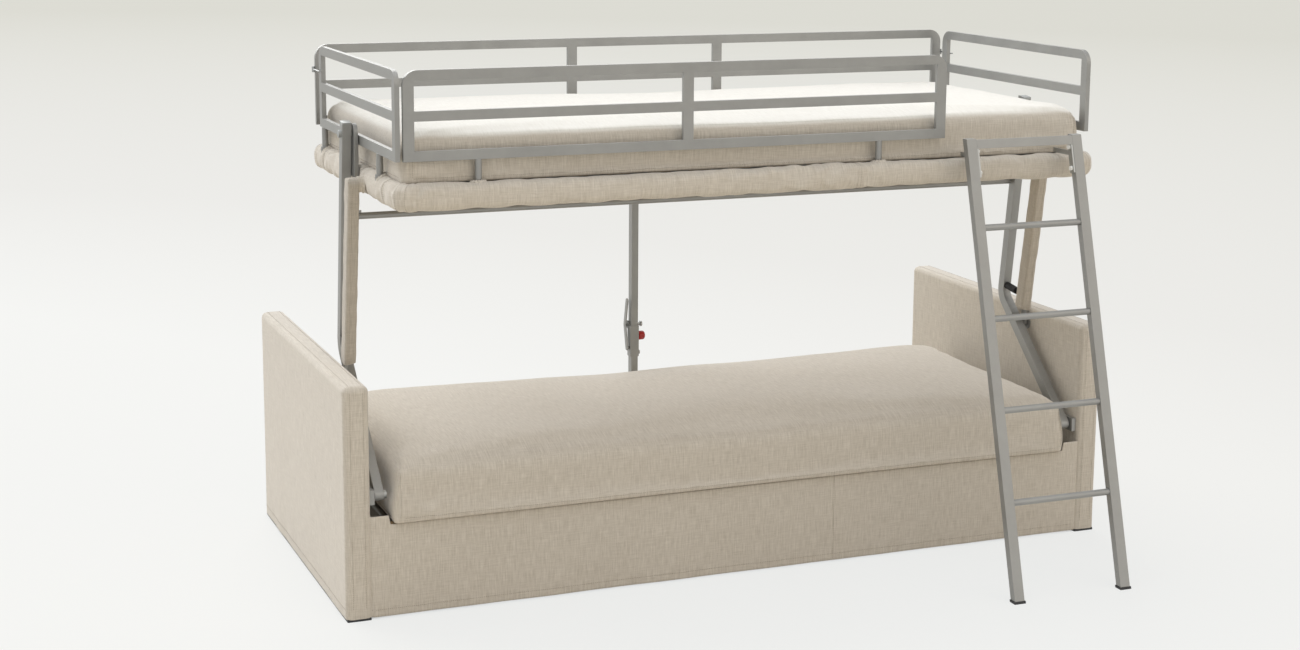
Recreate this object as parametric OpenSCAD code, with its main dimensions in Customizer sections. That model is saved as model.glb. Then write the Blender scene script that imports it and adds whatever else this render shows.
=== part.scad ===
// Sofa bed that opens into a bunk bed, shown open
// X runs along the sofa, Y from front to back, Z up from the floor

/* [Arms] */
// Overall length over the two arms
overall_l = 2130; // [2000:10:2300]
// Thickness of an arm
arm_t = 65; // [55:1:80]
// Depth of an arm from front to back
arm_d = 964; // [950:1:1010]
// Height of an arm
arm_h = 588; // [560:1:640]
// Rounding of an arm's top edges
arm_r = 14; // [6:1:20]
// Cloth thickness of the slip covers
cover_t = 3; // [2:0.5:4]
// Height of the glide strips below the arms
glide_h = 6; // [4:1:10]

/* [Base] */
// Height of the base's upper face, where the slats lie
deck_h = 240; // [225:1:250]
// Depth of the base behind the arms' front plane
base_d = 725; // [690:1:727]
// Gap between an arm and the base's side, where the legs swing
side_slot = 50; // [46:1:60]
// Section of the base's steel tubes
tube_s = 30; // [25:1:35]
// Thickness of a seat slat
slat_t = 12; // [8:1:16]
// Number of seat slats
slat_count = 15; // [11:1:19]
// Width of a slat
slat_w = 60; // [40:1:70]
// Height of the bearers' underside above the floor
bearer_z = 60; // [50:1:80]
// Height of the skirt's ends
skirt_h = 262; // [255:1:266]

/* [Mattresses] */
// Overhang of the lower mattress in front of the arms' front plane
seat_overhang = 15; // [10:1:20]
// Height of the lower mattress at its edge
seat_edge_t = 140; // [120:1:150]
// Rise of the lower mattress's middle over its edge
seat_crown = 22; // [10:1:26]
// Gap between the upper mattress's end and the roll's outer side
bunk_inset = 25; // [24:1:45]
// Height of the upper mattress at its edge
bunk_edge_t = 110; // [90:1:115]
// Rise of the upper mattress's middle over its edge
bunk_crown = 12; // [6:1:16]

/* [Bunk] */
// Gap between an arm's inner face and the roll's outer side
roll_gap = 45; // [43:1:55]
// Front face of the roll, before the arms' front plane
roll_front = 100; // [90:1:110]
// How far the roll's rear face lies behind the base
roll_behind = 40; // [30:1:43]
// Height of the roll's underside above the floor
roll_z = 1013; // [1010:1:1030]
// Height of the roll's section
roll_h = 70; // [66:1:76]
// Width of the roll's section
roll_w = 60; // [58:1:66]
// Section width of the bunk frame's tubes
frame_w = 25; // [20:1:30]
// Section height of the bunk frame's tubes
frame_h = 40; // [30:1:42]
// Number of bunk slats
bunk_slat_count = 16; // [12:1:18]

/* [Legs] */
// Width of a leg across the sofa
leg_w = 24; // [20:1:25]
// Depth of a leg
leg_d = 28; // [24:1:30]
// Gap between a leg and the arm
leg_gap = 15; // [14:1:16]
// Place of the leg's foot pivot from the front plane
pivot_y = 38; // [34:1:40]
// Height of the leg's foot pivot
pivot_z = 305; // [300:1:310]
// Place of the leg's bend from the front plane
bend_y = 371; // [360:1:380]
// Height of the leg's bend
bend_z = 610; // [600:5:620]
// Place of the bunk pivot from the front plane
head_y = 301; // [296:1:306]
// Height of the bunk pivot
head_z = 1160; // [1150:1:1170]
// Length of a leg past the bunk pivot
leg_past = 26; // [22:1:32]
// Diameter of the pivot pins
pin_d = 12; // [10:0.5:14]
// Height of the crossbar's middle
crossbar_z = 945; // [930:1:960]
// Diameter of the crossbar
crossbar_d = 17; // [14:0.5:18]

/* [Links] */
// Place of the link's top end from the front plane
link_top_y = 208; // [204:1:212]
// Height of the link's top end
link_top_z = 1045; // [1040:1:1050]
// Thickness of the link's flat bar
link_t = 8; // [6:0.5:8]
// Width of the link's flat bar
link_w = 24; // [20:1:28]
// Width of the fabric sleeve across the sofa
sleeve_w = 28; // [24:1:29]
// Depth of the fabric sleeve
sleeve_d = 44; // [38:1:46]
// Bare length of the link above its lower pivot
link_bare = 72; // [66:1:90]
// Distance of the link's lower pivot behind its top end
link_set_back = 79; // [76:0.5:82]

/* [Guard rails] */
// Width of a rail's bars
bar_w = 24; // [18:1:28]
// Thickness of a rail's bars
bar_t = 12; // [10:1:12]
// Height of a rail's underside above the floor
rail_z = 1133; // [1128:1:1140]
// Height of a rail
rail_h = 214; // [200:1:230]
// Outer rounding of a rail's top corners
rail_r = 36; // [28:1:44]
// Distance of the front rail's left end from the roll's outer side
front_rail_in = 28; // [26:1:55]
// Gap between the front rail's right end and the ladder
ladder_gap = 21; // [14:1:50]
// Distance of the front rail's middle plane behind the roll's front face
front_rail_set = 33; // [32:1:34]
// Distance of the rear rail's middle plane before the roll's rear face
rear_rail_set = 24; // [23:1:26]
// Distance of the rear rail's ends from the roll's outer side
rear_rail_in = 9; // [5:1:25]
// Distance of an end rail's middle plane from the roll's outer side
end_rail_set = 16; // [15:1:17]
// Distance of an end rail's rear end before the rear rail's middle plane
end_rail_short = 41; // [35:1:50]
// Diameter of the rails' stubs
stub_d = 17; // [14:0.5:18]
// Length of a stub inside its socket
stub_in = 34; // [25:1:36]

/* [Ladder] */
// Distance of the ladder's outer face from the roll's outer side
ladder_in = 84; // [65:1:85]
// Width over the ladder's rails
ladder_w = 341; // [320:1:342]
// Width of a ladder rail
ladder_rail_w = 28; // [24:1:32]
// Depth of a ladder rail
ladder_rail_d = 20; // [18:1:24]
// Height of the ladder's top
ladder_h = 1137; // [1120:1:1150]
// Place of the ladder's foot before the arms' front plane
ladder_foot = 450; // [440:1:458]
// Lean of the ladder from upright, in degrees
ladder_lean = 15.4; // [15:0.1:15.6]
// Diameter of a rung
rung_d = 17; // [14:0.5:20]
// Number of rungs
rung_count = 4; // [3:1:4]
// Height of the lowest rung's middle
rung_z = 240; // [220:1:260]
// Rise from rung to rung
rung_rise = 225; // [215:1:228]

/* [Rear prop] */
// Middle of the prop from the sofa's middle, toward the left
prop_x = 28; // [0:1:60]
// Width of the prop's tube
prop_w = 20; // [16:1:24]
// Depth of the prop's tube
prop_d = 24; // [20:1:24]
// Gap between the base and the prop behind it
prop_gap = 15; // [14:1:17]
// Height of the prop's foot pivot
prop_foot_z = 45; // [44:1:46]
// Height of the prop's knee pin
prop_knee_z = 515; // [505:1:525]
// Height of the prop's top
prop_top_z = 1003; // [1000:1:1003]

/* [Hidden] */
$fn = 48;

// Running clearance of a pin in its bore, on the diameter
fit = 0.1;
// Clearance between soft faces of different pieces
soft_gap = 0.3;
// Clearances of a stub, on the diameter, in its socket and in its eyelet
stub_fit = 0.4;
eyelet_fit = 0.8;
// Overrun of every cut
over = 1;

// Angle that the legs turn through when the bunk folds down
fold_angle = 58;
// Angle that the bunk turns through at the same time
turn_angle = 90;

// Arms
inner_x = overall_l / 2 - arm_t;
arm_z = glide_h;
glide_w = 22;
glide_inset = 30;
glide_l = 120;

// Ladder foot and the middle of the part's depth
foot_cap_over = 2;
foot_cap_h = 6;
foot_cap_d = ladder_rail_d + 2 * foot_cap_over;
ladder_front = -ladder_foot - foot_cap_d / 2 / cos(ladder_lean);
mid_y = (ladder_front + arm_d) / 2;

// Base
board_t = 12;
front_y = 10;
skirt_t = 8;
skirt_gap = 1;
skirt_lift = 4;
bearer_inset = 60;
post_count = 3;
foot_d = 40;
foot_in = 150;
side_x = inner_x - side_slot;
foot_x = side_x - foot_in;
frame_top = deck_h - slat_t;
skirt_y = front_y - skirt_t;

// Leg planes
leg_x1 = inner_x - leg_gap;
leg_x0 = leg_x1 - leg_w;
leg_axis = [pivot_y, pivot_z];
leg_bend = [bend_y, bend_z];
leg_head = [head_y, head_z];
bend_r = 46;
bend_steps = 16;
cap_t = 4;
plate_gap = 3;
foot_plate_t = leg_gap - plate_gap;
foot_plate_w = 46;
foot_plate_h = 36;
nut_d = 19;
nut_t = 7;
bumper_z = 640;
bumper_d = 20;
bumper_l = 52;
gusset_l = 34;
gusset_h = 8;
gusset_t = 4;
gusset_sink = 2;
crossbar_set = 12;

// Turning of a point about a centre in the YZ plane, positive from +Y to +Z
function turn(p, c, a) = [
    c[0] + (p[0] - c[0]) * cos(a) - (p[1] - c[1]) * sin(a),
    c[1] + (p[0] - c[0]) * sin(a) + (p[1] - c[1]) * cos(a)];
function line_y(a, b, z) = a[0] + (b[0] - a[0]) * (z - a[1]) / (b[1] - a[1]);

// Link pivots: the lower one is as far from the link's top when open as when folded
link_top = [link_top_y, link_top_z];
head_down = turn(leg_head, leg_axis, -fold_angle);
link_down = turn(link_top + head_down - leg_head, head_down, -turn_angle);
link_foot_y = link_top_y + link_set_back;
link_mid = (link_top + link_down) / 2;
link_foot = [link_foot_y, link_mid[1]
    - (link_foot_y - link_mid[0]) * (link_down[0] - link_top[0]) / (link_down[1] - link_top[1])];
link_gap = 5;
link_x1 = inner_x - link_gap;
link_x0 = link_x1 - link_t;
sleeve_x1 = link_x1;
sleeve_x0 = sleeve_x1 - sleeve_w;
sleeve_r = 9;
link_plate_t = 3;
link_plate_d = 44;

// Bunk
roll_x = inner_x - roll_gap;
pin_clear = 2;
roll_flat = 4;
roll_r = (roll_w - roll_flat) / 2;
roll_mid = roll_w / 2;
roll_corner_r = 70;
roll_y0 = -roll_front;
roll_y1 = base_d + roll_behind;
roll_top = roll_z + roll_h;
inside_x = roll_x - roll_w;
inside_y0 = roll_y0 + roll_w;
inside_y1 = roll_y1 - roll_w;
frame_lift = 23;
frame_z = roll_z + frame_lift;
corner_ease = 2;
frame_corner_r = roll_corner_r - roll_w + corner_ease;
frame_top_z = frame_z + frame_h;
bunk_slat_t = 10;
slat_top_z = frame_top_z + bunk_slat_t;
slat_inset = 2;
panel_t = 20;
panel_lift = 2;
lug_w = 30;
lug_t = 6;
lug_lift = 39;
lug_z = roll_z + lug_lift;
plate_t = 11;
plate_x1 = leg_x0 - plate_gap;
plate_x0 = plate_x1 - plate_t;
plate_w = 50;
socket_wall = 3;
socket_d = stub_d + 2 * socket_wall + stub_fit;
socket_z = rail_z - stub_l() - stub_in;
eyelet_rim = 6;
eyelet_taper = 6;
eyelet_d = socket_d + 2 * eyelet_rim;
eyelet_t = 2;

// Planes and ends of the guard rails
front_rail_y = roll_front - front_rail_set;
rear_rail_y = roll_y1 - rear_rail_set;
rear_half = roll_x - rear_rail_in;
end_rail_x = roll_x - end_rail_set;
end_rail_front = front_rail_y;
end_rail_rear = rear_rail_y - end_rail_short;
ladder_x = roll_x - ladder_in - ladder_w / 2;
front_x0 = front_rail_in - roll_x;
front_x1 = ladder_x - ladder_w / 2 - ladder_gap;

// Places of the stubs, each from its rail's nearer end
front_stub_left = 183;
front_stub_right = 189;
rear_stub_in = 246;
end_stub_front = 167;
end_stub_rear = 32;
front_stubs = [front_x0 + front_stub_left, front_x1 - front_stub_right];
rear_stubs = [rear_stub_in - rear_half, 0, rear_half - rear_stub_in];
end_stubs = [end_stub_front - end_rail_front, end_rail_rear - end_stub_rear];

// Mattresses
seat_x = side_x;
seat_rear = base_d;
seat_z = deck_h + soft_gap;
seat_corner_r = 34;
bunk_x = roll_x - bunk_inset;
bunk_z = slat_top_z + soft_gap;
bunk_side_gap = 3;
bunk_corner_r = 40;
bunk_y0 = -front_rail_y + bar_t / 2 + bunk_side_gap;
bunk_y1 = rear_rail_y - bar_t / 2 - bunk_side_gap;
pillow_draw = 3;
pillow_bulge = 2;
pillow_tip = 1;

// Guard rails
mid_bar_lift = 94;
mid_bar_z = rail_z + mid_bar_lift;
post_w = 27;
front_post_set = 1;
front_post_x = (front_x0 + front_x1) / 2 + front_post_set;
rear_post_x = 220;
stub_gap = 1;
hook_wire = 4;
hook_lift = 30;
hook_height = mid_bar_z + bar_w + hook_lift;

// Rear prop
prop_y = base_d + prop_gap;
prop_x0 = -prop_x - prop_w / 2;
prop_x1 = prop_x0 + prop_w;
prop_mid_y = prop_y + prop_d / 2;
prop_rear = prop_y + prop_d;
ear_t = 3;
ear_gap = 0.2;
ear_foot = 25;
bracket_short = 4;
knee_pin_d = 9;
knee_out = 20;
knee_in = 4;
knee_head_d = 16;
knee_head_t = 5;
foot_end = 14;
lever_t = 3;
lever_w = 16;
lever_up = 72;
lever_down = 66;
lever_bow = 16;
lever_gap = 5;
knob_d = 26;
knob_l = 20;
knob_z = 32;
knob_wall = 4;
knob_gap = 1;
bolt_d = 12;
bolt_t = 6;
bolt_down = 81;

// Ladder
hook_t = 5;
hook_arm_t = 12;
hook_z = roll_top + soft_gap;
hook_reach = roll_front - roll_w / 2;
hook_strip_w = 18;
hook_drop = 44;
hook_rise = 28;
rung_sink = 4;
top_bar_t = 6;
top_bar_w = 22;
top_bar_drop = 2;
bolt_head_d = 12;
bolt_head_t = 5;

function stub_l() = rail_z - roll_top;
function ladder_y(z) = -ladder_foot + z * tan(ladder_lean);

module place() translate([0, -mid_y, 0]) children();

module both() {
    children();
    mirror([1, 0, 0]) children();
}

module block(x0, x1, y0, y1, z0, z1) translate([x0, y0, z0]) cube([x1 - x0, y1 - y0, z1 - z0]);

module rounded(w, h, r) {
    square([w - 2 * r, h], center = true);
    square([w, h - 2 * r], center = true);
    for (x = [-1, 1], y = [-1, 1]) translate([x * (w / 2 - r), y * (h / 2 - r)]) circle(r);
}

// Draws an outline given in Y and Z, from x0 to x1
module slab(x0, x1) translate([x0, 0, 0]) rotate([90, 0, 90]) linear_extrude(x1 - x0) children();

// Lays a cylinder along X, from x0 to x1, at a point of Y and Z
module rod_x(p, d, x0, x1) translate([x0, p[0], p[1]]) rotate([0, 90, 0]) cylinder(d = d, h = x1 - x0);

// Flat bar in outline, from point a to point b
module bar(a, b, w) {
    l = norm(b - a);
    translate(a) rotate(atan2(b[1] - a[1], b[0] - a[0])) translate([0, -w / 2]) square([l, w]);
}

// Shares of a quarter of a pillow's outline: its straight ends and the corner between them
straight_share = 0.3;
corner_share = 0.4;

// Pillow: stacked outlines that bulge, draw in between their corners and close over the crown
function edge_point(hx, hy, r, draw, s) =
    let (q = floor(s * 4), t = s * 4 - q,
        sx = (q == 0 || q == 3) ? 1 : -1, sy = q < 2 ? 1 : -1,
        u = (q % 2 == 0) ? t : 1 - t,
        v = (u - straight_share) / corner_share,
        p = v < 0 ? [hx, (hy - r) * u / straight_share]
            : v < 1 ? [hx - r + r * cos(90 * v), hy - r + r * sin(90 * v)]
            : [(hx - r) * (1 - u) / straight_share, hy],
        dx = draw * (1 - pow(min(1, p[1] / hy), 2)), dy = draw * (1 - pow(min(1, p[0] / hx), 2)))
    [sx * (p[0] - dx * p[0] / hx), sy * (p[1] - dy * p[1] / hy)];

module pillow(half_x, half_y, h, crown, r, n = 56) {
    hx = half_x - pillow_bulge;
    hy = half_y - pillow_bulge;
    side_shares = [[0.18, 0], [0, 0.03], [-0.6, 0.2], [-1, 0.5], [-0.6, 0.8], [0, 0.97], [0.18, 1]];
    top_shares = [0.04, 0.12, 0.25, 0.42, 0.62, 0.82];
    rings = concat(
        [for (k = [5:-1:0]) [hy * top_shares[k], 0]],
        [for (s = side_shares) [s[0] * pillow_bulge, s[1] * h]],
        [for (k = [0:5]) [hy * top_shares[k], h + crown * sqrt(1 - pow(1 - top_shares[k], 4))]]);
    points = [for (g = rings) for (i = [0:n - 1])
        let (p = edge_point(hx - g[0], hy - g[0], max(pillow_tip, r - g[0]), pillow_draw, i / n))
            [p[0], p[1], g[1]]];
    m = len(rings);
    faces = concat(
        [for (k = [0:m - 2]) for (i = [0:n - 1]) [k * n + i, (k + 1) * n + i, k * n + (i + 1) % n]],
        [for (k = [0:m - 2]) for (i = [0:n - 1])
            [k * n + (i + 1) % n, (k + 1) * n + i, (k + 1) * n + (i + 1) % n]],
        [for (i = [1:n - 2]) [0, i, i + 1]],
        [for (i = [1:n - 2]) [(m - 1) * n, (m - 1) * n + i + 1, (m - 1) * n + i]]);
    polyhedron(points, faces, convexity = 4);
}

// Arms

module arm_outline(grow) {
    w = arm_t - 2 * grow;
    translate([0, arm_z]) {
        translate([-w / 2, 0]) square([w, arm_h - arm_z - grow - arm_r]);
        intersection() {
            translate([0, (arm_h - arm_z - grow) / 2]) rounded(w, arm_h - arm_z - grow, arm_r - grow);
            translate([-w / 2, 0]) square([w, arm_h - arm_z]);
        }
    }
}

module arm_solid(grow) translate([inner_x + arm_t / 2, arm_d - grow, 0]) rotate([90, 0, 0])
    linear_extrude(arm_d - 2 * grow) arm_outline(grow);

module arm_board() place() color("#8a7a64") arm_solid(cover_t);

module arm_cover() place() color("#c4b8a6") difference() {
    arm_solid(0);
    arm_solid(cover_t);
}

module arm_board_left() mirror([1, 0, 0]) arm_board();
module arm_board_right() arm_board();
module arm_cover_left() mirror([1, 0, 0]) arm_cover();
module arm_cover_right() arm_cover();

module arm_glides() place() color("#222222") both()
    for (y = [glide_inset, arm_d - glide_inset - glide_l])
        block(inner_x + arm_t / 2 - glide_w / 2, inner_x + arm_t / 2 + glide_w / 2,
            y, y + glide_l, 0, glide_h);

// Base

module base_bearers() place() color("#9a9a98")
    for (y = [bearer_inset, base_d - bearer_inset - tube_s])
        block(-inner_x, inner_x, y, y + tube_s, bearer_z, bearer_z + tube_s);

module base_feet() place() color("#222222")
    for (x = [-foot_x, foot_x], y = [bearer_inset, base_d - bearer_inset - tube_s])
        translate([x, y + tube_s / 2, 0]) cylinder(d = foot_d, h = bearer_z);

module base_frame() place() color("#9a9a98") {
    y0 = front_y + board_t;
    y1 = base_d - board_t;
    difference() {
        block(-side_x, side_x, y0, y1, frame_top - tube_s, frame_top);
        block(-side_x + tube_s, side_x - tube_s, y0 + tube_s, y1 - tube_s,
            frame_top - tube_s - over, frame_top + over);
    }
    for (k = [0:post_count - 1])
        let (x = -side_x + k * (2 * side_x - tube_s) / (post_count - 1)) {
            block(x, x + tube_s, y0 + tube_s, y1 - tube_s, frame_top - tube_s, frame_top);
            for (y = [bearer_inset, base_d - bearer_inset - tube_s])
                block(x, x + tube_s, y, y + tube_s, bearer_z + tube_s, frame_top - tube_s);
        }
}

module seat_slats() place() color("#c9a878")
    for (k = [0:slat_count - 1])
        let (x = -side_x + slat_w / 2 + (k + 0.5) * (2 * side_x - slat_w) / slat_count)
            block(x - slat_w / 2, x + slat_w / 2, front_y + board_t, base_d - board_t, frame_top, deck_h);

module front_board() place() color("#8a7a64")
    block(-side_x, side_x, front_y, front_y + board_t, bearer_z, deck_h - skirt_gap);

module rear_board() place() color("#8a7a64")
    block(-side_x, side_x, base_d - board_t, base_d, bearer_z + tube_s, deck_h - skirt_gap);

module front_skirt() place() color("#b3a795") {
    block(-inner_x + skirt_gap, inner_x - skirt_gap, skirt_y, front_y, skirt_lift, deck_h - skirt_gap);
    both() block(seat_x + skirt_gap, inner_x - skirt_gap, skirt_y, front_y, deck_h - skirt_gap, skirt_h);
}

module lower_mattress() place() color("#b9ae9d")
    translate([0, (seat_rear - seat_overhang) / 2, seat_z])
        pillow(seat_x, (seat_rear + seat_overhang) / 2, seat_edge_t, seat_crown, seat_corner_r);

module foot_pivot_brackets() place() color("#9a9a98") both()
    translate([inner_x - foot_plate_t, 0, 0]) difference() {
        translate([0, pivot_y - foot_plate_w / 2, pivot_z - foot_plate_h / 2])
            cube([foot_plate_t, foot_plate_w, foot_plate_h]);
        rod_x(leg_axis, pin_d, -over, foot_plate_t + over);
    }

module foot_pivot_pins() place() color("#c8c8c8") both() {
    rod_x(leg_axis, pin_d, leg_x0 - nut_t, inner_x);
    difference() {
        rod_x(leg_axis, nut_d, leg_x0 - nut_t, leg_x0 - soft_gap);
        rod_x(leg_axis, pin_d, leg_x0 - nut_t - over, leg_x0);
    }
}

module link_pivot_brackets() place() color("#9a9a98") both() {
    rod_x(link_foot, link_plate_d, inner_x - link_plate_t, inner_x);
    rod_x(link_foot, pin_d, link_x0 - over, inner_x - link_plate_t);
}

module prop_foot_bracket() place() color("#9a9a98") {
    for (x = [prop_x0 - ear_gap - ear_t, prop_x1 + ear_gap]) difference() {
        block(x, x + ear_t, base_d - bearer_inset, prop_rear - bracket_short,
            prop_foot_z - foot_end, bearer_z);
        rod_x([prop_mid_y, prop_foot_z], knee_pin_d, x - over, x + ear_t + over);
    }
    block(prop_x0 - ear_gap - ear_t, prop_x1 + ear_gap + ear_t, base_d - bearer_inset - tube_s,
        base_d - bearer_inset, prop_foot_z - foot_end, bearer_z);
    rod_x([prop_mid_y, prop_foot_z], knee_pin_d, prop_x0 - ear_gap - ear_t, prop_x1 + ear_gap + ear_t);
}

// Legs

// Outline of a leg in Y and Z: straight from the foot pivot, round the bend, straight past the bunk pivot
module leg_shape() {
    dir = (leg_head - leg_bend) / norm(leg_head - leg_bend);
    low = (leg_axis - leg_bend) / norm(leg_axis - leg_bend);
    half_bend = acos(dir * low) / 2;
    centre = leg_bend + (dir + low) / norm(dir + low) * bend_r / sin(half_bend);
    from = leg_bend + low * bend_r / tan(half_bend) - centre;
    to = leg_bend + dir * bend_r / tan(half_bend) - centre;
    start = atan2(from[1], from[0]);
    turns = [for (k = [0:bend_steps]) start + (180 - 2 * half_bend) * k / bend_steps];
    side = leg_d / 2;
    top = leg_head + dir * leg_past;
    polygon(concat(
        [leg_axis + from / bend_r * side],
        [for (a = turns) centre + (bend_r + side) * [cos(a), sin(a)]],
        [top + to / bend_r * side, top - to / bend_r * side],
        [for (k = [bend_steps:-1:0]) centre + (bend_r - side) * [cos(turns[k]), sin(turns[k])]],
        [leg_axis - from / bend_r * side]));
    translate(leg_axis) circle(d = leg_d);
}

module leg() place() color("#a2a29f") difference() {
    slab(leg_x0, leg_x1) leg_shape();
    rod_x(leg_axis, pin_d + fit, leg_x0 - over, leg_x1 + over);
    rod_x(leg_head, pin_d, leg_x0 - over, leg_x1 + over);
}

module leg_left() mirror([1, 0, 0]) leg();
module leg_right() leg();

module leg_crossbar() place() color("#a2a29f") {
    y = line_y(leg_bend, leg_head, crossbar_z) + crossbar_set;
    rod_x([y, crossbar_z], crossbar_d, -leg_x0, leg_x0);
    both() slab(leg_x0 - gusset_l, leg_x0)
        translate([y - gusset_t / 2, crossbar_z + crossbar_d / 2 - gusset_sink])
            square([gusset_t, gusset_h]);
}

module leg_caps() place() color("#d8d8d6") both() {
    dir = (leg_head - leg_bend) / norm(leg_head - leg_bend);
    top = leg_head + dir * leg_past;
    slab(leg_x0, leg_x1) bar(top, top + dir * cap_t, leg_d);
}

module stop_bumpers() place() color("#2a2a2a") both() {
    dir = (leg_head - leg_bend) / norm(leg_head - leg_bend);
    p = [line_y(leg_bend, leg_head, bumper_z), bumper_z] + [-dir[1], dir[0]] * leg_d / 2;
    translate([(leg_x0 + leg_x1) / 2, p[0], p[1]]) rotate([90 + atan2(-dir[0], dir[1]), 0, 0])
        cylinder(d = bumper_d, h = bumper_l);
}

module bunk_pivot_pins() place() color("#c8c8c8") both() {
    rod_x(leg_head, pin_d, plate_x0, leg_x1);
    difference() {
        rod_x(leg_head, nut_d, leg_x1, leg_x1 + nut_t);
        rod_x(leg_head, pin_d, leg_x1 - over, leg_x1);
    }
}

// Links

module link_bar() place() color("#a2a29f") difference() {
    slab(link_x0, link_x1) {
        bar(link_foot, link_top, link_w);
        translate(link_foot) circle(d = link_w);
        translate(link_top) circle(d = link_w);
    }
    rod_x(link_foot, pin_d + fit, link_x0 - over, link_x1 + over);
}

module link_left() mirror([1, 0, 0]) link_bar();
module link_right() link_bar();

module sleeve() place() color("#c0b5a4") {
    dir = (link_top - link_foot) / norm(link_top - link_foot);
    l = norm(link_top - link_foot) - link_bare;
    a = atan2(dir[1], dir[0]);
    translate([0, link_foot[0] + dir[0] * link_bare, link_foot[1] + dir[1] * link_bare])
        rotate([a - 90, 0, 0]) difference() {
            union() {
                translate([(sleeve_x0 + sleeve_x1) / 2, 0, 0]) linear_extrude(l)
                    rounded(sleeve_w, sleeve_d, sleeve_r);
                intersection() {
                    translate([sleeve_x0, 0, l]) rotate([0, 90, 0]) cylinder(d = sleeve_d, h = sleeve_w);
                    translate([(sleeve_x0 + sleeve_x1) / 2, 0, l / 2]) linear_extrude(l)
                        rounded(sleeve_w, sleeve_d, sleeve_r);
                }
            }
            translate([link_x0, -link_w / 2, -over]) cube([link_t + over, link_w, l + over]);
            translate([link_x0, 0, l]) rotate([0, 90, 0]) cylinder(d = link_w, h = link_t + over);
        }
}

module sleeve_left() mirror([1, 0, 0]) sleeve();
module sleeve_right() sleeve();

module link_top_pins() place() color("#c8c8c8") both()
    rod_x(link_top, pin_d, roll_x + pin_clear, sleeve_x0);

// Bunk

// Plate that fills the roll's inner outline
module inside_plate(z0, z1) translate([0, (inside_y0 + inside_y1) / 2, z0]) linear_extrude(z1 - z0)
    rounded(2 * inside_x, inside_y1 - inside_y0, frame_corner_r);

module bunk_frame() place() color("#9a9a98") {
    difference() {
        inside_plate(frame_z, frame_top_z);
        block(-inside_x + frame_w, inside_x - frame_w, inside_y0 + frame_w, inside_y1 - frame_w,
            frame_z - over, frame_top_z + over);
    }
    stub_lugs();
    for (x = [-inside_x / 3, inside_x / 3])
        block(x - frame_w / 2, x + frame_w / 2, inside_y0 + frame_w, inside_y1 - frame_w, frame_z, frame_top_z);
}

// Flat lugs that carry the sockets, from the frame out to the stubs
module stub_lugs() difference() {
    union() {
        for (x = front_stubs)
            block(x - lug_w / 2, x + lug_w / 2, -front_rail_y - lug_w / 2, inside_y0, lug_z, lug_z + lug_t);
        for (x = rear_stubs)
            block(x - lug_w / 2, x + lug_w / 2, inside_y1, rear_rail_y + lug_w / 4, lug_z, lug_z + lug_t);
        both() for (y = end_stubs)
            block(inside_x, end_rail_x + lug_w / 4, y - lug_w / 2, y + lug_w / 2, lug_z, lug_z + lug_t);
    }
    at_stubs() translate([0, 0, lug_z - over]) cylinder(d = socket_d, h = lug_t + 2 * over);
}

module at_stubs() {
    for (x = front_stubs) translate([x, -front_rail_y, 0]) children();
    for (x = rear_stubs) translate([x, rear_rail_y, 0]) children();
    for (s = [-1, 1], y = end_stubs) translate([s * end_rail_x, y, 0]) children();
}

module bunk_slats() place() color("#c9a878")
    for (k = [0:bunk_slat_count - 1])
        let (x = -inside_x + slat_w / 2 + (k + 0.5) * (2 * inside_x - slat_w) / bunk_slat_count)
            block(x - slat_w / 2, x + slat_w / 2, inside_y0 + slat_inset, inside_y1 - slat_inset,
                frame_top_z, slat_top_z);

module pivot_plate_shape() both() {
    block(plate_x0, plate_x1, head_y - plate_w / 2, head_y + plate_w / 2, lug_z, head_z);
    rod_x([head_y, head_z], plate_w, plate_x0, plate_x1);
    block(inside_x, plate_x1, head_y - plate_w / 2, head_y + plate_w / 2, lug_z, lug_z + lug_t);
}

module bunk_pivot_plates() place() color("#b4b4b1") difference() {
    pivot_plate_shape();
    both() rod_x(leg_head, pin_d + fit, plate_x0 - over, plate_x1 + over);
}

module back_panel() place() color("#b9ae9d")
    inside_plate(roll_z + panel_lift, roll_z + panel_lift + panel_t);

module roll_section() rounded(roll_w, roll_h, roll_r);

module roll_cuts() {
    stub_lugs();
    pivot_plate_shape();
    at_stubs() translate([0, 0, socket_z]) cylinder(d = socket_d, h = roll_h);
}

// Straight roll along X at a middle line, with a quarter turn at each end
module roll_long(y, s) {
    straight = roll_x - roll_corner_r;
    translate([-straight, y, roll_z + roll_h / 2]) rotate([90, 0, 90]) linear_extrude(2 * straight)
        roll_section();
    both() translate([straight, y - s * (roll_corner_r - roll_mid), roll_z + roll_h / 2])
        rotate([0, 0, s > 0 ? 0 : -90]) rotate_extrude(angle = 90)
            translate([roll_corner_r - roll_mid, 0]) roll_section();
}

module roll_side() {
    y0 = roll_y0 + roll_corner_r;
    y1 = roll_y1 - roll_corner_r;
    difference() {
        translate([roll_x - roll_mid, y1, roll_z + roll_h / 2]) rotate([90, 0, 0]) linear_extrude(y1 - y0)
            roll_section();
        roll_cuts();
    }
}

module roll_front() place() color("#c4b9a8") difference() {
    roll_long(roll_y0 + roll_mid, -1);
    roll_cuts();
}

module roll_rear() place() color("#c4b9a8") difference() {
    roll_long(roll_y1 - roll_mid, 1);
    roll_cuts();
}

module roll_left() place() color("#c4b9a8") mirror([1, 0, 0]) roll_side();
module roll_right() place() color("#c4b9a8") roll_side();

module rail_sockets() place() color("#8f8f8d") at_stubs() difference() {
    translate([0, 0, socket_z]) cylinder(d = socket_d, h = roll_top - socket_z);
    translate([0, 0, socket_z + socket_wall]) cylinder(d = stub_d + stub_fit, h = roll_top - socket_z);
}

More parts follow.
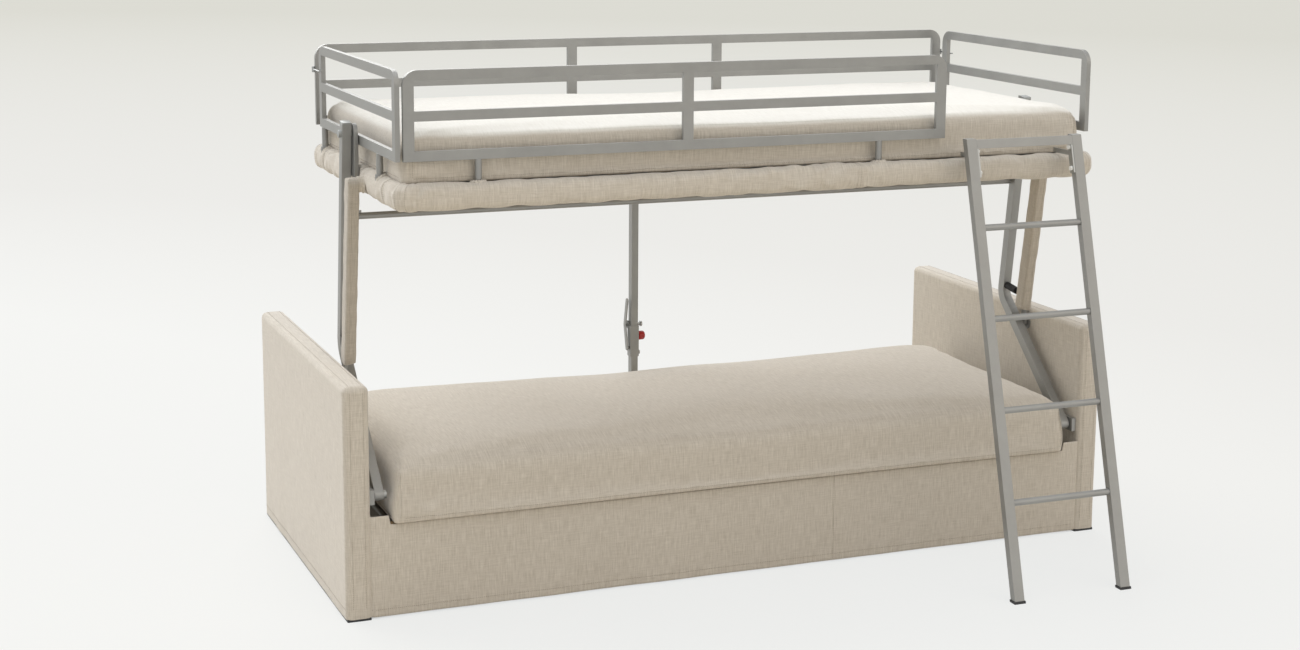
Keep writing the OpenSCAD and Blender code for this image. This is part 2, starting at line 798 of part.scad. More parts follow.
module rail_eyelets() place() color("#a39a8b") at_stubs() difference() {
    translate([0, 0, roll_top]) cylinder(d1 = eyelet_d, d2 = eyelet_d - eyelet_taper, h = eyelet_t);
    translate([0, 0, roll_top - over]) cylinder(d = stub_d + eyelet_fit, h = eyelet_t + 2 * over);
}

module upper_mattress() place() color("#d6cec2")
    translate([0, (bunk_y0 + bunk_y1) / 2, bunk_z])
        pillow(bunk_x, (bunk_y1 - bunk_y0) / 2, bunk_edge_t, bunk_crown, bunk_corner_r);

// Guard rails

// Outline of a rail: outer frame with rounded top corners, a middle bar and inner posts
module rail_outline(x0, x1, posts) {
    l = x1 - x0;
    difference() {
        union() {
            translate([x0, 0]) square([l, rail_h - rail_r]);
            translate([x0 + rail_r, 0]) square([l - 2 * rail_r, rail_h]);
            for (x = [x0 + rail_r, x1 - rail_r]) translate([x, rail_h - rail_r]) circle(rail_r);
        }
        stops = concat([x0], posts, [x1]);
        for (k = [0:len(stops) - 2]) {
            a = stops[k] + (k == 0 ? post_w : post_w / 2);
            b = stops[k + 1] - (k == len(stops) - 2 ? post_w : post_w / 2);
            translate([a, bar_w]) square([b - a, mid_bar_z - rail_z - bar_w]);
            translate([a, mid_bar_z - rail_z + bar_w])
                square([b - a, rail_h - bar_w - (mid_bar_z - rail_z + bar_w)]);
        }
    }
}

module rail_stub() translate([0, 0, rail_z - stub_l() - stub_in + socket_wall + stub_gap])
    cylinder(d = stub_d, h = stub_l() + stub_in - socket_wall);

module guard_rail_front() place() color("#a9aba8") {
    translate([0, -front_rail_y + bar_t / 2, rail_z]) rotate([90, 0, 0]) linear_extrude(bar_t)
        rail_outline(front_x0, front_x1, [front_post_x]);
    for (x = front_stubs) translate([x, -front_rail_y, 0]) rail_stub();
}

module guard_rail_rear() place() color("#a9aba8") {
    translate([0, rear_rail_y + bar_t / 2, rail_z]) rotate([90, 0, 0]) linear_extrude(bar_t)
        rail_outline(-rear_half, rear_half, [-rear_post_x, rear_post_x]);
    for (x = rear_stubs) translate([x, rear_rail_y, 0]) rail_stub();
}

module guard_rail_end() place() color("#a9aba8") {
    translate([end_rail_x - bar_t / 2, 0, rail_z]) rotate([90, 0, 90]) linear_extrude(bar_t)
        rail_outline(-end_rail_front, end_rail_rear, []);
    for (y = end_stubs) translate([end_rail_x, y, 0]) rail_stub();
}

module guard_rail_left() mirror([1, 0, 0]) guard_rail_end();
module guard_rail_right() guard_rail_end();

// Wire hook from the rear rail's end post round the end rail's rear post
module corner_hook() place() color("#c8c8c8") {
    x = rear_half + soft_gap + hook_wire;
    y = end_rail_rear - post_w - hook_wire;
    translate([x, rear_rail_y, hook_height]) rotate([90, 0, 0]) cylinder(d = hook_wire, h = rear_rail_y - y);
    translate([x + hook_wire / 2, y + hook_wire / 2, hook_height]) rotate([0, -90, 0])
        cylinder(d = hook_wire, h = x + hook_wire / 2 - end_rail_x - bar_t / 2 - soft_gap);
    translate([x, rear_rail_y, hook_height - hook_wire * 2]) cylinder(d = hook_wire * 2, h = hook_wire * 4);
}

module corner_hook_left() mirror([1, 0, 0]) corner_hook();
module corner_hook_right() corner_hook();

// Rear prop

module prop_tube(z0, z1) block(prop_x0, prop_x1, prop_y, prop_rear, z0, z1);

module prop_lower() place() color("#a2a29f") difference() {
    union() {
        prop_tube(prop_foot_z, prop_knee_z - ear_gap);
        rod_x([prop_mid_y, prop_foot_z], prop_d, prop_x0, prop_x1);
        for (x = [prop_x0 - ear_t, prop_x1]) {
            block(x, x + ear_t, prop_y, prop_rear, prop_knee_z - lever_down - ear_foot, prop_knee_z);
            rod_x([prop_rear, prop_knee_z], prop_d, x, x + ear_t);
        }
        rod_x([prop_mid_y, prop_knee_z - bolt_down], bolt_d, prop_x1 + ear_t, prop_x1 + ear_t + bolt_t);
    }
    rod_x([prop_mid_y, prop_foot_z], knee_pin_d + fit, prop_x0 - over, prop_x1 + over);
    rod_x([prop_rear, prop_knee_z], knee_pin_d + fit, prop_x0 - ear_t - over, prop_x1 + ear_t + over);
    rod_x([prop_rear, prop_knee_z], prop_d + 2 * ear_gap, prop_x0, prop_x1);
    rod_x([prop_mid_y, prop_knee_z - knob_z], knee_pin_d + fit, prop_x0 + knob_wall, prop_x1 + ear_t + over);
}

module prop_upper() place() color("#a2a29f") difference() {
    union() {
        prop_tube(prop_knee_z + prop_d / 2, prop_top_z);
        block(prop_x0 + ear_gap, prop_x1 - ear_gap, prop_y, prop_rear, prop_knee_z, prop_knee_z + prop_d / 2);
        rod_x([prop_rear, prop_knee_z], prop_d, prop_x0 + ear_gap, prop_x1 - ear_gap);
    }
    rod_x([prop_rear, prop_knee_z], knee_pin_d, prop_x0 - over, prop_x1 + over);
}

module prop_knee_pin() place() color("#c8c8c8") {
    p = [prop_rear, prop_knee_z];
    rod_x(p, knee_pin_d, prop_x0 - ear_t - knee_in, prop_x1 + knee_out);
    rod_x(p, knee_head_d, prop_x1 + knee_out - knee_head_t, prop_x1 + knee_out);
}

module prop_lock_lever() place() color("#8f8f8d") {
    x1 = prop_x0 - ear_t - lever_gap;
    slab(x1 - lever_t, x1) {
        bar([prop_mid_y, prop_knee_z - lever_down], [prop_mid_y + lever_bow, prop_knee_z], lever_w);
        bar([prop_mid_y + lever_bow, prop_knee_z], [prop_mid_y, prop_knee_z + lever_up], lever_w);
        translate([prop_mid_y + lever_bow, prop_knee_z]) circle(d = lever_w);
        translate([prop_mid_y, prop_knee_z - lever_down]) circle(d = lever_w);
        translate([prop_mid_y, prop_knee_z + lever_up]) circle(d = lever_w);
    }
    rod_x([prop_mid_y, prop_knee_z - lever_down], knee_pin_d, x1, prop_x0 - ear_t - soft_gap);
}

module prop_release_knob() place() color("#8c1a18") {
    p = [prop_mid_y, prop_knee_z - knob_z];
    x = prop_x1 + ear_t + knob_gap;
    rod_x(p, knee_pin_d, prop_x0 + knob_wall + knob_gap, x);
    rod_x(p, knob_d, x, x + knob_l);
}

// Ladder

// Puts its children on the ladder's left or right rail, leaning with it
module lean() translate([0, -ladder_foot, 0]) rotate([-ladder_lean, 0, 0]) children();

module ladder_side(s, w, d, z0, z1) {
    x = ladder_x + s * (ladder_w - ladder_rail_w) / 2;
    intersection() {
        lean() translate([x - w / 2, -d / 2, -ladder_h]) cube([w, d, 3 * ladder_h]);
        block(x - w, x + w, -2 * ladder_foot, ladder_foot, z0, z1);
    }
}

module rungs()
    for (k = [0:rung_count - 1])
        let (z = rung_z + k * rung_rise, half = ladder_w / 2 - rung_sink)
            rod_x([ladder_y(z), z], rung_d, ladder_x - half, ladder_x + half);

module ladder_rails() place() color("#a9aba8") difference() {
    for (s = [-1, 1]) ladder_side(s, ladder_rail_w, ladder_rail_d, foot_cap_h, ladder_h);
    rungs();
}

module ladder_rungs() place() color("#a9aba8") rungs();

module ladder_top_bar() place() color("#a9aba8") intersection() {
    half = ladder_w / 2 - ladder_rail_w;
    lean() translate([ladder_x - half, -ladder_rail_d / 2, 0]) cube([2 * half, top_bar_t, 2 * ladder_h]);
    block(ladder_x - ladder_w, ladder_x + ladder_w, -ladder_foot, ladder_foot,
        ladder_h - top_bar_drop - top_bar_w, ladder_h - top_bar_drop);
}

module ladder_hook_plate() {
    z0 = hook_z - hook_drop;
    z1 = hook_z + hook_rise;
    bar([ladder_y(z0), z0], [ladder_y(z1), z1], hook_strip_w);
    translate([ladder_y(hook_z), hook_z]) square([-hook_reach - ladder_y(hook_z), hook_arm_t]);
}

module ladder_hooks() place() color("#c8c8c8") {
    x0 = ladder_x - ladder_w / 2 + ladder_rail_w;
    x1 = ladder_x + ladder_w / 2 - ladder_rail_w;
    slab(x0, x0 + hook_t) ladder_hook_plate();
    slab(x1 - hook_t, x1) ladder_hook_plate();
}

module ladder_bolts() place() color("#e8e8e6") {
    x0 = ladder_x - ladder_w / 2 + ladder_rail_w + hook_t;
    x1 = ladder_x + ladder_w / 2 - ladder_rail_w - hook_t;
    for (z = [hook_z - hook_drop + bolt_head_d, hook_z + hook_rise - bolt_head_d / 2]) {
        rod_x([ladder_y(z), z], bolt_head_d, x0, x0 + bolt_head_t);
        rod_x([ladder_y(z), z], bolt_head_d, x1 - bolt_head_t, x1);
    }
}

module ladder_feet() place() color("#1c1c1c")
    for (s = [-1, 1]) ladder_side(s, ladder_rail_w + 2 * foot_cap_over, foot_cap_d, 0, foot_cap_h);

arm_board_left();
arm_board_right();
arm_cover_left();
arm_cover_right();
arm_glides();
base_bearers();
base_feet();
base_frame();
seat_slats();
front_board();
rear_board();
front_skirt();
lower_mattress();
foot_pivot_brackets();
foot_pivot_pins();
link_pivot_brackets();
prop_foot_bracket();
leg_left();
leg_right();
leg_crossbar();
leg_caps();
stop_bumpers();
bunk_pivot_pins();
link_left();
link_right();
sleeve_left();
sleeve_right();
link_top_pins();
bunk_frame();
bunk_slats();
bunk_pivot_plates();
back_panel();
roll_front();
roll_rear();
roll_left();
roll_right();
rail_sockets();
rail_eyelets();
upper_mattress();
guard_rail_front();
guard_rail_rear();
guard_rail_left();
guard_rail_right();
corner_hook_left();
corner_hook_right();
prop_lower();
prop_upper();
prop_knee_pin();
prop_lock_lever();
prop_release_knob();
ladder_rails();
ladder_rungs();
ladder_top_bar();
ladder_hooks();
ladder_bolts();
ladder_feet();
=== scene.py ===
"""Sofa bed that opens into a bunk bed, dressed over its fixed frame.

The drawing's lengths are millimetres: X along the sofa, Y from the arms' front plane to
the rear, Z up from the floor. spot() turns a point of the drawing into the frame's metres.
"""

import logging
import math
from dataclasses import dataclass
from enum import Enum
from itertools import product
from typing import Callable, Iterable, Sequence

import bmesh
import bpy
import numpy as np
from mathutils import Matrix, Vector, noise


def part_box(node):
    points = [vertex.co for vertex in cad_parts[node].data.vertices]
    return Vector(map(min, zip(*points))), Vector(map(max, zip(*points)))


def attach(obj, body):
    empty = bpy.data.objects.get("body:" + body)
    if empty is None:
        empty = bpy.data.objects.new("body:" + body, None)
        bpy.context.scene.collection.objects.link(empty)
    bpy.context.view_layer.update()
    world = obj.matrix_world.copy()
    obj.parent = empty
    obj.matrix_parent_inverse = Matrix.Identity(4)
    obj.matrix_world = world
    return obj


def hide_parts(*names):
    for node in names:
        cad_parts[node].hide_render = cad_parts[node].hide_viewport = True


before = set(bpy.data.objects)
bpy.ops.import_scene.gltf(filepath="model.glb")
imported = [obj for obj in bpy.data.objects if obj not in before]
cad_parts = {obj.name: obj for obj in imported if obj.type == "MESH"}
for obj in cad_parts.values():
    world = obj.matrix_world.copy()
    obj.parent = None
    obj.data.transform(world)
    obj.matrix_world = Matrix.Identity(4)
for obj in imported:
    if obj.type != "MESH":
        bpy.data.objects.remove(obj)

LOG = logging.getLogger("sofa_bed")
MM = 0.001
FRONT = -0.250777  # the arms' front plane in the frame, in metres
ORIGIN = np.array([0.0, FRONT, 0.0])
SKIN = 0.1  # a point this near to a side of its box lies on it, in millimetres

Point = tuple[float, float, float]
Faces = list[list[int]]
Cut = list[tuple[float, float]]
Row = list[Vector]
Form = bmesh.types.BMesh
Material = bpy.types.Material
Piece = bpy.types.Object
Tree = bpy.types.NodeTree


class Side(Enum):
    """The two ends of the sofa, by the sign of X."""

    LEFT = -1
    RIGHT = 1

    @property
    def word(self) -> str:
        """The end's name in a node's name."""
        return self.name.lower()


class Slot(Enum):
    """The record's material slots that new pieces use."""

    LINEN = "linen"
    PALE_LINEN = "pale_linen"
    GREY_STEEL = "grey_steel"
    TIMBER = "timber"
    BLACK_PLASTIC = "black_plastic"
    RED_PLASTIC = "red_plastic"


# Small helpers


def spot(x: float, y: float, z: float) -> Vector:
    """The frame's point, in metres, of a drawing point in millimetres."""
    return Vector((x * MM, y * MM + FRONT, z * MM))


def node_box(node: str) -> tuple[Vector, Vector]:
    """A CAD node's lowest and highest corner, as drawing points in millimetres."""
    low, high = ((corner - spot(0, 0, 0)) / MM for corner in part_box(node))
    return low, high


def linear(hex_code: str) -> tuple[float, float, float, float]:
    """Turns an sRGB hex colour to linear red, green, blue and an alpha of one."""
    parts = [int(hex_code[k : k + 2], 16) / 255 for k in (1, 3, 5)]
    turned = [c / 12.92 if c <= 0.04045 else ((c + 0.055) / 1.055) ** 2.4 for c in parts]
    return (*turned, 1.0)


def add(
    tree: Tree,
    kind: str,
    inputs: dict[str | int, object] | None = None,
    **settings: object,
) -> bpy.types.Node:
    """Adds a node with its settings and inputs.

    Args:
        tree: The tree that gets the node.
        kind: The node's type name, a shader node's without its prefix.
        inputs: By name or number a value, a socket, or a node whose first output feeds it.
        **settings: The node's own properties.

    Returns:
        The new node.
    """
    node = tree.nodes.new(kind if "Node" in kind else f"ShaderNode{kind}")
    for name, value in settings.items():
        setattr(node, name, value)
    for key, value in (inputs or {}).items():
        if isinstance(value, bpy.types.Node):
            value = value.outputs[0]
        if isinstance(value, bpy.types.NodeSocket):
            tree.links.new(value, node.inputs[key])
        else:
            node.inputs[key].default_value = value
    return node


def ramp(node: bpy.types.Node, *stops: tuple[float, str]) -> None:
    """Sets a colour ramp's stops, each a place from 0 to 1 and a hex colour."""
    elements = node.color_ramp.elements
    while len(elements) < len(stops):
        elements.new(0.5)
    for element, (place, code) in zip(elements, stops):
        element.position = place
        element.color = linear(code)


def blank_material(name: str) -> tuple[Material, Tree]:
    """Starts a material with an empty tree."""
    material = bpy.data.materials.new(name)
    material.use_nodes = True
    material.node_tree.nodes.clear()
    return material, material.node_tree


# Finishes


@dataclass(frozen=True)
class Linen:
    """Plain-woven linen and cotton, unbleached: a matt cloth with slubs along both threads.

    The real threads are about 0.6 mm apart, too fine to show, so the grid is drawn at thread_mm.
    Where a piece carries its share of painted light, the cloth turns to the second, paler pair of
    colours: a painted highlight.
    """

    name: str
    dark: str
    light: str
    painted_light_tones: tuple[str, str] | None = None
    thread_mm: float = 1.9
    slub_mm: float = 42.0
    bump_mm: float = 0.5

    def material(self) -> Material:
        """Builds the cloth on the piece's own cut map, whose unit is the metre."""
        material, tree = blank_material(self.name)
        cut = add(tree, "UVMap", uv_map="cut")
        thin, long = 1000 / (self.thread_mm * 1.6), 1000 / self.slub_mm
        streaks = []
        for scale in ((long, thin, 1.0), (thin, long, 1.0)):
            turned = add(tree, "Mapping", {"Vector": cut, "Scale": scale})
            slub = {"Vector": turned, "Scale": 1.0, "Detail": 3.0, "Roughness": 0.6}
            streaks.append(add(tree, "TexNoise", slub).outputs["Fac"])
        warp, weft = streaks
        pitch = 1000 / self.thread_mm / 2 / 3.1416
        wave = {"Vector": cut, "Scale": pitch, "Distortion": 1.2, "Detail": 1.0}
        bands = {
            key: add(tree, "TexWave", wave, bands_direction=axis).outputs["Fac"]
            for key, axis in enumerate("XY")
        }
        # the warp's slubs show more than the weft's
        threads = add(tree, "Math", {0: warp, 1: 0.6, 2: weft}, operation="MULTIPLY_ADD")
        weave = add(tree, "Math", bands, operation="MULTIPLY")
        cloud = add(tree, "TexNoise", {"Vector": cut, "Scale": 4.0, "Detail": 2.0}).outputs["Fac"]
        shade = add(tree, "Math", {0: cloud, 1: 0.12, 2: threads}, operation="MULTIPLY_ADD")
        toned = add(tree, "MapRange", {"Value": shade, "From Min": 0.47, "From Max": 1.25})
        mixed = add(tree, "Math", {0: weave, 1: 0.1, 2: toned}, operation="MULTIPLY_ADD")
        colour = add(tree, "ValToRGB", {"Fac": mixed})
        ramp(colour, (0.0, self.dark), (1.0, self.light))
        # painted highlight: a second, paler pair of colours for the light that falls on a
        # mattress's top
        if self.painted_light_tones:
            pale = add(tree, "ValToRGB", {"Fac": mixed})
            ramp(pale, (0.0, self.painted_light_tones[0]), (1.0, self.painted_light_tones[1]))
            share = add(tree, "Attribute", attribute_name="painted_light").outputs["Fac"]
            blend = add(tree, "Mix", {0: share, 6: colour, 7: pale}, data_type="RGBA")
            colour = blend.outputs[2]
        height = add(tree, "Math", {0: threads, 1: weave}, operation="ADD")
        relief = {"Height": height, "Strength": 0.55, "Distance": self.bump_mm * MM}
        look = {
            "Base Color": colour,
            "Normal": add(tree, "Bump", relief),
            "Roughness": 0.92,
            "IOR": 1.45,
            "Specular IOR Level": 0.25,
            "Sheen Weight": 0.5,
            "Sheen Roughness": 0.45,
            "Sheen Tint": linear("#F4F2F0"),
        }
        add(tree, "OutputMaterial", {"Surface": add(tree, "BsdfPrincipled", look)})
        return material


@dataclass(frozen=True)
class Hard:
    """A hard finish: fine grain in its relief, slow clouds in its colour and gloss.

    cloud is the noise's scale, detail and roughness; tone is the span of it that is used and
    the brightness that it gives; relief is the grain's strength and depth in millimetres.
    """

    name: str
    colour: str
    roughness: float
    grain_mm: float
    metallic: float = 0.0
    ior: float = 1.5
    cloud: Point = (30.0, 5.0, 0.5)
    tone: tuple[float, float, float, float] = (0.3, 0.75, 0.92, 1.25)
    relief: tuple[float, float] = (0.3, 0.04)
    gloss: tuple[float, float] | None = None

    def material(self) -> Material:
        """Builds the finish on object coordinates."""
        material, tree = blank_material(self.name)
        place = add(tree, "TexCoord").outputs["Object"]
        fine = {"Vector": place, "Scale": 1000 / self.grain_mm, "Detail": 2.0}
        grain = add(tree, "TexNoise", fine).outputs["Fac"]
        slow = {"Vector": place} | dict(zip(("Scale", "Detail", "Roughness"), self.cloud))
        cloud = add(tree, "TexNoise", slow).outputs["Fac"]
        names = ("From Min", "From Max", "To Min", "To Max")
        tone = add(tree, "MapRange", {"Value": cloud} | dict(zip(names, self.tone)))
        colour = {"Value": tone, "Color": linear(self.colour)}
        relief = {"Height": grain, "Strength": self.relief[0], "Distance": self.relief[1] * MM}
        look = {
            "Base Color": add(tree, "HueSaturation", colour),
            "Normal": add(tree, "Bump", relief),
            "Metallic": self.metallic,
            "Roughness": self.roughness,
            "IOR": self.ior,
        }
        if self.gloss:
            span = (*self.tone[:2], *(self.roughness + change for change in self.gloss))
            worn = {"Value": cloud} | dict(zip(names, span))
            look["Roughness"] = add(tree, "MapRange", worn)
        add(tree, "OutputMaterial", {"Surface": add(tree, "BsdfPrincipled", look)})
        return material


@dataclass(frozen=True)
class Steel(Hard):
    """Mild steel, lacquered or plated, with the fine skin that spraying or plating leaves."""

    cloud: Point = (14.0, 4.0, 0.6)
    tone: tuple[float, float, float, float] = (0.3, 0.7, 0.9, 1.04)
    relief: tuple[float, float] = (0.4, 0.02)
    gloss: tuple[float, float] | None = (-0.05, 0.07)


@dataclass(frozen=True)
class Timber:
    """Sawn and planed board or rotary-cut ply, waxed or bare, with its grain along one axis."""

    name: str
    early: str
    late: str
    grain_mm: float
    along: int
    roughness: float = 0.55

    def material(self) -> Material:
        """Builds the grain on object coordinates, long along the board."""
        material, tree = blank_material(self.name)
        place = add(tree, "TexCoord").outputs["Object"]
        scale = [1000 / self.grain_mm] * 3
        scale[self.along] = 1000 / self.grain_mm / 22
        turned = add(tree, "Mapping", {"Vector": place, "Scale": scale})
        rings = {"Scale": 1.0, "Detail": 5.0, "Roughness": 0.65, "Distortion": 0.4}
        grain = add(tree, "TexNoise", {"Vector": turned} | rings).outputs["Fac"]
        tone = add(tree, "ValToRGB", {"Fac": grain})
        ramp(tone, (0.3, self.late), (0.68, self.early))
        bump = add(tree, "Bump", {"Height": grain, "Strength": 0.25, "Distance": 0.1 * MM})
        look = {"Base Color": tone, "Normal": bump, "Roughness": self.roughness}
        add(tree, "OutputMaterial", {"Surface": add(tree, "BsdfPrincipled", look)})
        return material


class Wardrobe:
    """Every finish of the sofa bed, each built once."""

    def __init__(self) -> None:
        """Builds the materials."""
        # Natural flax: warm grey beige with paler slubs
        flax = ("#B5AC9D", "#DED7CA")
        self.linen = Linen("linen_woven_natural", *flax).material()
        # The same cloth, painted paler on its top for the strong light that falls on the upper
        # bunk: a painted highlight
        self.pale_linen = Linen("linen_woven_pale", *flax, ("#DEDACF", "#F4F2EA")).material()
        # The sleeves' cloth, painted a shade darker for the shade that falls on them under the
        # bunk
        self.sleeve_linen = Linen("linen_woven_painted_shade", "#A1988A", "#C9C1B3").material()
        # Flax sewing thread, a shade darker than the cloth, so that the seams read
        self.thread = Hard("thread_flax_spun", "#8F8474", 0.85, 0.6).material()
        # Silver lacquer sprayed on steel: satin, slightly cool
        self.grey_steel = Steel("steel_lacquered_silver", "#9C9C99", 0.42, 1.6, 0.5).material()
        # Zinc plate on bolts, pins and caps: brighter and smoother
        self.bright_steel = Steel("steel_zinc_plated", "#ABADAC", 0.34, 0.8, 0.85).material()
        # Rotary-cut birch ply of the slats
        self.slat = Timber("birch_ply_planed", "#D9BE93", "#B98F5C", 5.0, 1).material()
        # Particle board inside the arms and base
        self.board = Timber("particle_board_sanded", "#B39A76", "#7C6548", 3.0, 0, 0.8).material()
        # Black polypropylene caps and glides
        self.black_plastic = Hard("polypropylene_moulded_black", "#1D1D1F", 0.48, 0.9).material()
        # Black rubber feet and bumpers
        rubber = Hard("rubber_moulded_black", "#161617", 0.78, 0.9, ior=1.52)
        self.black_rubber = rubber.material()
        # Red ABS release knob, fairly glossy
        self.red_plastic = Hard("abs_moulded_red", "#A81D1A", 0.32, 0.9, ior=1.54).material()
        # White nylon bolt caps
        self.white_plastic = Hard("nylon_moulded_white", "#E4E4E0", 0.4, 0.9, ior=1.53).material()


# Mesh making


def graded(
    lo: float, hi: float, step: float, fine: Iterable[float] = (), near: float = 2.2
) -> list[float]:
    """Grid places from lo to hi, closer together beside the fine ones.

    Args:
        lo: First place, in millimetres.
        hi: Last place.
        step: Usual spacing.
        fine: Places of seams and edges.
        near: Spacing beside these.

    Returns:
        The places in order, none closer than 0.6 of near.
    """
    beside = (0, 1, 2.2, 4)
    wanted = [lo + near * k for k in beside] + [hi - near * k for k in beside]
    wanted += [f + near * k * sign for f in fine for k in beside for sign in (-1, 1)]
    kept = sorted({round(w, 4) for w in wanted if lo <= w <= hi})
    places = [kept[0]]
    for w in kept[1:]:
        start = places[-1]
        if w - start < 0.6 * near:
            continue
        count = max(1, round((w - start) / step))
        places += [start + (w - start) * k / count for k in range(1, count + 1)]
    places[-1] = hi
    return places


def grid_box(
    xs: Sequence[float], ys: Sequence[float], zs: Sequence[float]
) -> tuple[np.ndarray, Faces, Cut]:
    """A closed box of quads on three lists of places.

    Returns:
        Points in millimetres, faces that point outwards, and a cut map's places, in metres.
    """
    places = (xs, ys, zs)
    index: dict[tuple[int, int, int], int] = {}
    points: list[Point] = []
    faces: Faces = []
    cut: Cut = []

    def corner(key: tuple[int, int, int]) -> int:
        if key not in index:
            index[key] = len(points)
            points.append(tuple(places[a][key[a]] for a in range(3)))
        return index[key]

    for axis, end in product(range(3), (0, 1)):
        a, b = (t for t in range(3) if t != axis)
        fixed = 0 if end == 0 else len(places[axis]) - 1
        keep = (end == 1) != (axis == 1)
        for p, q in product(range(len(places[a]) - 1), range(len(places[b]) - 1)):
            quad = [(p, q), (p + 1, q), (p + 1, q + 1), (p, q + 1)]
            ids = []
            for s, t in quad if keep else quad[::-1]:
                key = [0, 0, 0]
                key[axis], key[a], key[b] = fixed, s, t
                ids.append(corner(tuple(key)))
                cut.append((places[a][s] * MM, places[b][t] * MM + 0.37 * axis + 0.11 * end))
            faces.append(ids)
    return np.array(points, float), faces, cut


def turned_over(faces: Faces, cut: Cut) -> tuple[Faces, Cut]:
    """Turns every face over, with its cut map, for a mirrored form."""
    corners = product(range(len(faces)), range(4))
    return [f[::-1] for f in faces], [cut[k * 4 + 3 - n] for k, n in corners]


def round_off(
    points: np.ndarray,
    lo: Point,
    hi: Point,
    radius: float,
    foot: tuple[float, float] | None = None,
) -> np.ndarray:
    """Rounds the edges of a box's points.

    Args:
        points: Points on the box's skin.
        lo: Its lowest corner.
        hi: Its highest corner.
        radius: The rounding, in millimetres.
        foot: Width and height of the rounding at the foot, where it is tighter.

    Returns:
        The points moved on to the rounded box.
    """
    reach = np.full_like(points, radius)
    if foot:
        share = np.clip(2 * (points[:, 2] - lo[2]) / (hi[2] - lo[2]), 0, 1)
        reach[:, :2] = (foot[0] + (radius - foot[0]) * share)[:, None]
        reach[:, 2] = np.where(share < 1, foot[1], radius)
    inner = np.clip(points, np.array(lo) + reach, np.array(hi) - reach)
    away = (points - inner) / reach
    length = np.linalg.norm(away, axis=1, keepdims=True)
    return inner + np.where(length > 1e-9, away / np.maximum(length, 1e-9) * reach, 0)


def ripple(points: np.ndarray, size_mm: float, seed: float) -> np.ndarray:
    """Smooth noise of about minus one to one at each point, with features of that size."""
    shift = Vector((seed, seed * 0.7, -seed))
    return np.array([noise.noise(Vector(p / size_mm) + shift) for p in points]) * 1.6


def bell(distance: np.ndarray | float, width: float) -> np.ndarray | float:
    """One at no distance, fading to nothing beyond about twice the width."""
    return np.exp(-((distance / width) ** 2))


def gap_to(points: np.ndarray, axis: int, places: Sequence[float]) -> np.ndarray:
    """Each point's distance along an axis from the nearest of some places."""
    return np.min([np.abs(points[:, axis] - p) for p in places], axis=0)


def placed(name: str, data: bpy.types.ID) -> Piece:
    """Puts data in the scene as an object at the frame's origin."""
    piece = bpy.data.objects.new(name, data)
    bpy.context.scene.collection.objects.link(piece)
    return piece


def cloth_piece(
    name: str, points: np.ndarray, faces: Faces, cut: Cut, material: Material
) -> Piece:
    """Makes a smooth mesh object in the frame, with its cut map.

    Args:
        name: The piece's name.
        points: Drawing points in millimetres.
        faces: Faces by point number.
        cut: The cut map, one place for each corner of each face.
        material: Its cloth.

    Returns:
        The object, at the frame's origin.
    """
    mesh = bpy.data.meshes.new(name)
    mesh.from_pydata((points * MM + ORIGIN).tolist(), [], faces)
    layer = mesh.uv_layers.new(name="cut")
    layer.data.foreach_set("uv", np.array(cut, np.float32).ravel())
    mesh.materials.append(material)
    mesh.shade_smooth()
    return placed(name, mesh)


def cut_flat(piece: Piece, across: int, up: int) -> None:
    """Gives a small piece a cut map from two of its axes."""
    mesh = piece.data
    layer = mesh.uv_layers.new(name="cut")
    for loop in mesh.loops:
        place = mesh.vertices[loop.vertex_index].co
        layer.data[loop.index].uv = (place[across], place[up])


def face_outwards(piece: Piece) -> None:
    """Turns a closed piece's faces outwards."""
    form = bmesh.new()
    form.from_mesh(piece.data)
    bmesh.ops.recalc_face_normals(form, faces=form.faces)
    form.to_mesh(piece.data)
    form.free()


def coordinates(mesh: bpy.types.Mesh) -> np.ndarray:
    """The mesh's points as an array."""
    found = np.empty(len(mesh.vertices) * 3, np.float32)
    mesh.vertices.foreach_get("co", found)
    return found.reshape(-1, 3).astype(float)


@dataclass(frozen=True)
class Settling:
    """How a sewn cover is blown up over its filling by the cloth solver."""

    pressure: float
    slack: float
    cap_mm: float
    frames: int = 20
    bending: float = 0.5

    def run(self, piece: Piece, held: np.ndarray) -> None:
        """Runs the solver and keeps its result in the mesh, each point moved by the cap at most.

        Args:
            piece: The cover.
            held: How firmly each point is sewn down, from 0 to 1.
        """
        start = coordinates(piece.data)
        group = piece.vertex_groups.new(name="sewn")
        for weight in np.unique(np.round(held, 2)):
            chosen = np.flatnonzero(np.round(held, 2) == weight).tolist()
            group.add(chosen, float(weight), "REPLACE")
        solver = piece.modifiers.new("settle", "CLOTH")
        cloth = solver.settings
        cloth.quality = 5
        cloth.mass = 0.3
        cloth.tension_stiffness = 12
        cloth.compression_stiffness = 8
        cloth.shear_stiffness = 5
        cloth.bending_stiffness = self.bending
        cloth.use_pressure = True
        cloth.uniform_pressure_force = self.pressure
        cloth.shrink_min = -self.slack
        cloth.vertex_group_mass = "sewn"
        cloth.effector_weights.gravity = 0
        solver.collision_settings.use_collision = False
        solver.point_cache.frame_start = 1
        solver.point_cache.frame_end = self.frames
        scene = bpy.context.scene
        for step in range(1, self.frames + 1):
            scene.frame_set(step)
        settled = piece.evaluated_get(bpy.context.evaluated_depsgraph_get())
        moved = coordinates(settled.data) - start
        length = np.linalg.norm(moved, axis=1, keepdims=True)
        moved *= np.minimum(1, self.cap_mm * MM / np.maximum(length, 1e-9))
        piece.modifiers.remove(solver)
        piece.vertex_groups.clear()
        piece.data.vertices.foreach_set("co", (start + moved).astype(np.float32).ravel())
        piece.data.update()
        scene.frame_set(1)


def smooth_once(piece: Piece) -> None:
    """Adds one level of subdivision, the same in the view and the render."""
    finer = piece.modifiers.new("smooth", "SUBSURF")
    finer.levels = finer.render_levels = 1


